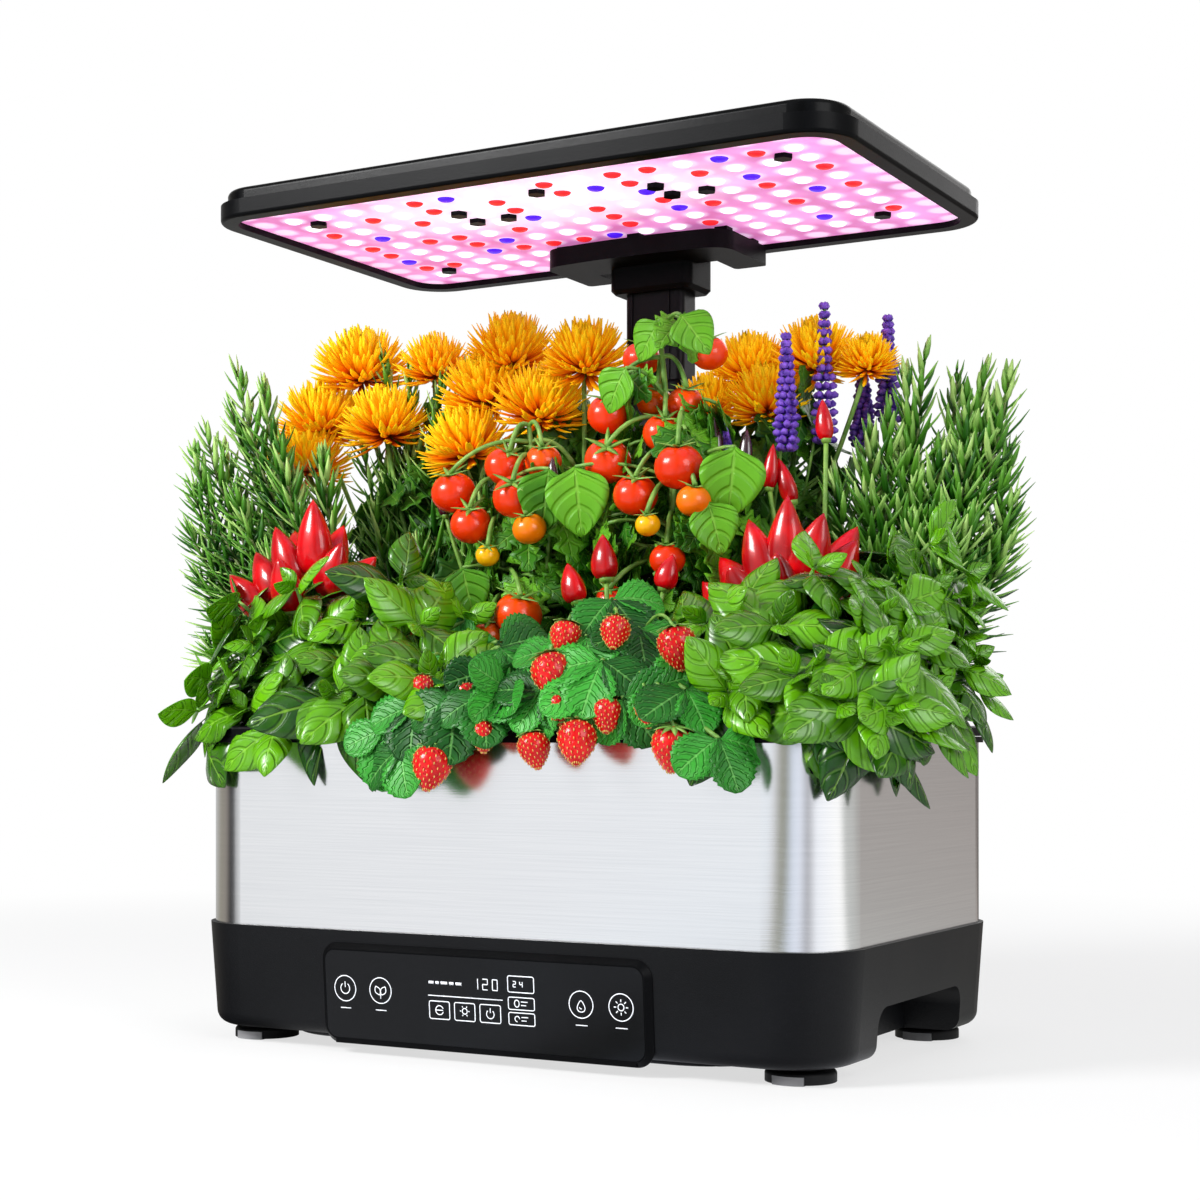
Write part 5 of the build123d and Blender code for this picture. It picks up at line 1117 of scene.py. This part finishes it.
def strawberry(cell, leaves_at, berries, seed):
    """Stalks, leaves, berries (x, y, z, size), seeds and caps. A berry is a blunt cone turned
    about its axis: r = sin(pi s^0.72)^0.72, with eleven staggered rows of twelve seeds."""
    chance = np.random.default_rng(seed)
    leaves_at = np.asarray(leaves_at, float)
    count = len(leaves_at)
    root = rooted(cell, count, 7, chance)
    rib = curve(root, 0.4 * root + 0.6 * leaves_at + [0, 0, 20], leaves_at, 10)
    stems = [tubes(rib, 1.2, 5, arching)]
    face = outward(leaves_at, middle[cell] + [0, 18, 0], 0.65, 0.22, chance)
    way = (leaves_at - root) * [1, 1, 0] / 60 + [0, 0, -0.45] + chance.normal(0, 0.3, (count, 3))
    way = unit(way - (way * face).sum(-1, keepdims=True) * face)
    side = np.cross(face, way)
    made = []
    for turn, share in ((0.0, 1.05), (1.2, 0.92), (-1.2, 0.92)):
        length = 29 * share * chance.uniform(0.85, 1.2, count)
        bend = np.radians(chance.normal(26, 10, count))
        made.append(blades(rib[:, 9], np.cos(turn) * way + np.sin(turn) * side, face, bend,
                           length, length * 0.44, toothed, 23, 7, 0.16, chance))
    berries = np.asarray(berries, float)
    size = berries[:, 3:4]
    axis = unit(np.array([0.1, -0.25, -0.95]) + chance.normal(0, 0.16, (len(berries), 3)))
    s = np.linspace(0, 1, 15)
    cone = np.stack([np.sin(np.pi * s**0.72) ** 0.72 * (1 - 0.12 * s), 2.35 * s - 1.0], -1)
    cone[0, 0] = cone[-1, 0] = 0
    fruit = turned(berries[:, :3], axis, size[..., None] * cone, 24)
    rings, each = 11, 12
    level = np.repeat(np.linspace(0.14, 0.95, rings), each)
    staggered = 0.5 * (np.repeat(np.arange(rings), each) % 2)
    spin = (np.tile(np.arange(each), rings) + staggered) * 2 * np.pi / each
    many, sizes = axis.repeat(len(spin), 0), size.repeat(len(spin), 0)
    out, _ = around(many, np.tile(spin, len(axis)), np.full(len(many), np.pi / 2))
    r, h = (np.tile(np.interp(level, s, cone[:, part]), len(axis))[:, None] for part in (0, 1))
    spot = berries[:, :3].repeat(len(spin), 0) + sizes * (r * out + h * many)
    span = 0.075 * sizes
    tiny = curve(spot - many * span, spot + out * span * 0.8, spot + many * span, 4)
    seeds = tubes(tiny, [0.12, 0.34, 0.34, 0.12], 4, (0.2, 0.9, 0.3))
    top = berries[:, :3] - axis * size * 0.95
    tongues = 9
    crown, many, sizes = (part.repeat(tongues, 0) for part in (top, axis, size))
    spin = np.tile(np.arange(tongues) * 2 * np.pi / tongues, len(axis))
    out, _ = around(many, spin, np.full(len(many), np.pi / 2))
    path = curve(crown, crown + out * sizes * 0.5 - many * sizes * 0.1,
                 crown + out * sizes * 0.92 + many * sizes * 0.12, 5)
    caps = sweep(path, sizes * np.array([0.1, 0.16, 0.15, 0.1, 0.02]), 0.25, 4, many[:, None])
    start = rooted(cell, len(berries), 5, chance)
    path = curve(start, 0.4 * start + 0.6 * top + [0, 0, 46], top, 12)
    stems.append(tubes(path, 0.9, 5, arching))
    return joined(*stems), leafy(*made), fruit, seeds, caps


strawberry_leaves = {
    "a2": [(-37, -141, 166), (-9, -132, 190), (17, -126, 196), (6, -130, 192), (-3, -100, 218),
           (-52, -134, 176), (-22, -122, 200), (-40, -96, 216), (-14, -84, 222), (-70, -76, 214),
           (-46, -56, 222), (-18, -60, 224), (-62, -112, 200), (2, -116, 206), (-34, -132, 188),
           (-84, -60, 204), (-8, -72, 228)],
    "a3": [(75, -128, 209), (65, -100, 242), (71, -134, 196), (42, -130, 194), (108, -130, 196),
           (122, -128, 194), (146, -141, 170), (41, -112, 216), (84, -106, 226), (118, -110, 212),
           (96, -120, 200), (43, -130, 196), (90, -134, 190), (30, -92, 226), (50, -78, 232),
           (80, -80, 228), (26, -70, 218), (68, -56, 220), (16, -104, 208), (100, -84, 216),
           (60, -118, 222), (20, -126, 198)],
}
strawberry_fruit = {
    "a2": [(-18, -142, 156, 10.8), (-9, -122, 193, 8.0), (10, -136, 172, 7.6), (-34, -126, 196, 7.5)],
    "a3": [(49, -120, 222, 8.4), (47, -130, 203, 11.0), (78, -120, 224, 8.0), (113, -120, 216, 10.2),
           (69, -143, 169, 10.4), (122, -143, 166, 10.6), (43, -141, 165, 8.6), (82, -135, 182, 8.4),
           (55, -136, 186, 7.6), (104, -135, 184, 7.2)],
}
for cell, seed in (("a2", 51), ("a3", 52)):
    stems, leaves, fruit, seeds, caps = strawberry(
        cell, strawberry_leaves[cell], strawberry_fruit[cell], seed)
    grow("strawberry_stems", cell, green_stem, joined(stems, caps))
    grow("strawberry_leaves", cell, strawberry_leaf, leaves, thickness=0.3)
    grow("strawberries", cell, berry_skin, fruit)
    grow("strawberry_seeds", cell, seed_yellow, seeds)

# ---- peppers: glossy pointed red fruit that stand upright in clusters, each in a short green
# cap on a stalk from the plug.
pepper_red = finish("pepper_red", {**skin_gloss, "Coat Weight": 0.45, "Coat Roughness": 0.05}, lambda at: {
    "Base Color": at.noise(60.0).step(0.3, 0.7).mix((0.36, 0.0, 0.003), (0.75, 0.002, 0.006)),
    "Roughness": at.noise(150.0) * 0.08 + 0.22})


def peppers(cell, fruit):
    """Fruit (foot x, y, z, length, radius, lean x, lean y): a cone with a swollen foot that
    tapers to a point, slightly ribbed, on a stalk from the plug."""
    fruit = np.asarray(fruit, float)
    axis = unit(np.c_[fruit[:, 5:7], np.ones(len(fruit))])
    radius = fruit[:, 4:5]
    s = np.linspace(0, 1, 13)
    foot = np.sqrt(np.clip(1 - ((s - 0.3) / 0.32) ** 2, 0, 1)) * (s < 0.3)
    r = foot + np.cos(np.pi / 2 * np.clip((s - 0.3) / 0.7, 0, 1)) ** 0.85 * (s >= 0.3)
    cone = np.stack([r * radius, s * fruit[:, 3:4]], -1)
    cone[:, 0, 0] = cone[:, -1, 0] = 0
    start = np.broadcast_to(middle[cell] + [0, 0, 2], (len(fruit), 3))
    bow = 0.3 * start + 0.7 * fruit[:, :3] + [0, 0, -14]
    stems = tubes(curve(start, bow, fruit[:, :3] + axis * 1.5, 12), 1.4, 6, (0.3, 1, 0.1))
    cap = np.stack([
        np.array([0, 0.5, 0.62, 0.0]) * radius, np.array([-1.0, -0.6, 2.4, 2.6]) + 0 * radius], -1)
    return turned(fruit[:, :3], axis, cone, 18, 3, 0.07), joined(stems, turned(fruit[:, :3], axis, cap, 12))


pepper_fruit = {
    "a1": [(-158, -52, 264, 46, 11, 0.0, -0.1), (-170, -54, 258, 40, 10, -0.4, -0.1),
           (-150, -54, 252, 36, 10, 0.5, -0.2), (-182, -56, 250, 36, 10, -0.6, 0.0),
           (-166, -64, 244, 34, 10, 0.0, -0.5), (-142, -50, 252, 32, 9, 0.9, 0.2),
           (-192, -58, 244, 32, 9, -0.9, -0.3), (-160, -42, 262, 38, 10, 0.1, 0.4),
           (-178, -44, 260, 38, 10, -0.3, 0.3)],
    "b4": [(126, -16, 252, 48, 11, 0.05, -0.1), (137, -20, 250, 42, 11, 0.4, -0.2),
           (118, -18, 248, 42, 10.5, -0.3, -0.1), (148, -16, 244, 36, 10.5, 0.6, 0.0),
           (108, -18, 242, 34, 10, -0.8, 0.0), (132, -32, 238, 34, 10.5, 0.1, -0.6),
           (124, -4, 254, 40, 10, -0.1, 0.3), (144, -4, 250, 38, 10, 0.4, 0.3),
           (152, -30, 232, 32, 9.5, 0.8, -0.4), (106, -30, 230, 32, 10, -0.8, -0.4),
           (118, -36, 234, 34, 10, -0.3, -0.7)],
}
for cell, places in pepper_fruit.items():
    fruit, stems = peppers(cell, places)
    grow("peppers", cell, pepper_red, fruit)
    grow("pepper_stems", cell, sepal_green, stems)

# ---- chillies: slim upright fruit on stalks from the plug, glossy and nearly black until they
# ripen to red.
chilli_dark = finish("chilli_dark", {"Coat Weight": 0.8, "Coat Roughness": 0.06}, lambda at: {
    "Base Color": at.noise(50.0).step(0.3, 0.7).mix((0.012, 0.003, 0.006), (0.06, 0.006, 0.014)),
    "Roughness": at.noise(150.0) * 0.08 + 0.2})
chilli_fruit = {
    "b2": (chilli_dark, [
        (-22, -12, 304, 27, 4.6, 0.0, 0.0), (-96, -10, 300, 24, 4.2, -0.1, 0.0)]),
    "b3": (chilli_dark, [
        (72, 8, 322, 28, 5.0, -0.05, 0.0), (88, 12, 320, 22, 4.2, 0.05, 0.0)]),
    "b4": (pepper_red, [(99, 20, 308, 26, 4.6, 0.1, 0.0), (112, 24, 300, 28, 5.0, -0.35, 0.0),
                        (130, 28, 334, 24, 5.0, -0.1, 0.0)]),
    "a3": (pepper_red, [(30, -42, 256, 26, 7.5, -0.1, 0.0), (12, -42, 244, 24, 7, -0.3, 0.0),
                        (64, -40, 250, 20, 6.5, 0.3, 0.0)]),
}
for cell, (skin, places) in chilli_fruit.items():
    fruit, stems = peppers(cell, places)
    grow("chillies", cell, skin, fruit)
    grow("chilli_stems", cell, sepal_green, stems)

# ---- salvia: thin upright spikes from the plug, ringed near their tops with small violet
# flowers that grow smaller upwards.
violet = finish("salvia_violet", {"Roughness": 0.6}, lambda at: {
    "Base Color": at.noise(260.0, 3.0).step(0.3, 0.7).mix((0.05, 0.012, 0.28), (0.28, 0.12, 0.75))})


def salvia(cell, spikes, seed):
    """Spikes (x, y, top, flowering length): whorls of six buds that grow smaller upwards."""
    chance = np.random.default_rng(seed)
    spikes = np.asarray(spikes, float)
    rounds = 16
    s = np.linspace(0, 1, rounds)
    axis = np.zeros((len(spikes), rounds, 1, 3))
    axis[..., :2] = spikes[:, None, None, :2]
    axis[..., 2] = (spikes[:, 2][:, None] - spikes[:, 3][:, None] * (1 - s))[..., None]
    spin = np.arange(6) * np.pi / 3 + chance.uniform(0, 6.28, (len(spikes), rounds, 1))
    way = np.stack([np.cos(spin), np.sin(spin), 0 * spin], -1)
    reach = (np.interp(s, [0, 0.2, 1], [6.8, 7.6, 2.6])[None, :, None, None]
             * chance.uniform(0.8, 1.2, (len(spikes), rounds, 6, 1)))
    ends = axis + way * 0.3, axis + way * reach * 0.7 + [0, 0, 2.6], axis + way * reach + [0, 0, 1.2]
    path = curve(*[end.reshape(-1, 3) for end in ends], 4)
    buds = tubes(path, [0.6, 1.7, 2.3, 1.0], 5, (0.05, 0.03, 1.0))
    start = np.broadcast_to(middle[cell] + [0, 0, 3], (len(spikes), 3))
    top = spikes[:, :3]
    path = curve(start, top * [1, 1, 0.5] + start * [0, 0, 0.5], top, 24)
    return buds, tubes(path, 0.9, 5)


for cell, spikes in (
    ("c3", [(116, 58, 414, 76), (105, 30, 393, 62), (66, 30, 348, 30)]),
    ("c4", [(142, 90, 410, 58), (124, 96, 386, 46)]),
):
    buds, stems = salvia(cell, spikes, 71)
    grow("salvia_flowers", cell, violet, buds)
    grow("salvia_stems", cell, green_stem, stems)

size = {"cad": cad_box, "visual": [list(corner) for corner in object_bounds()]}
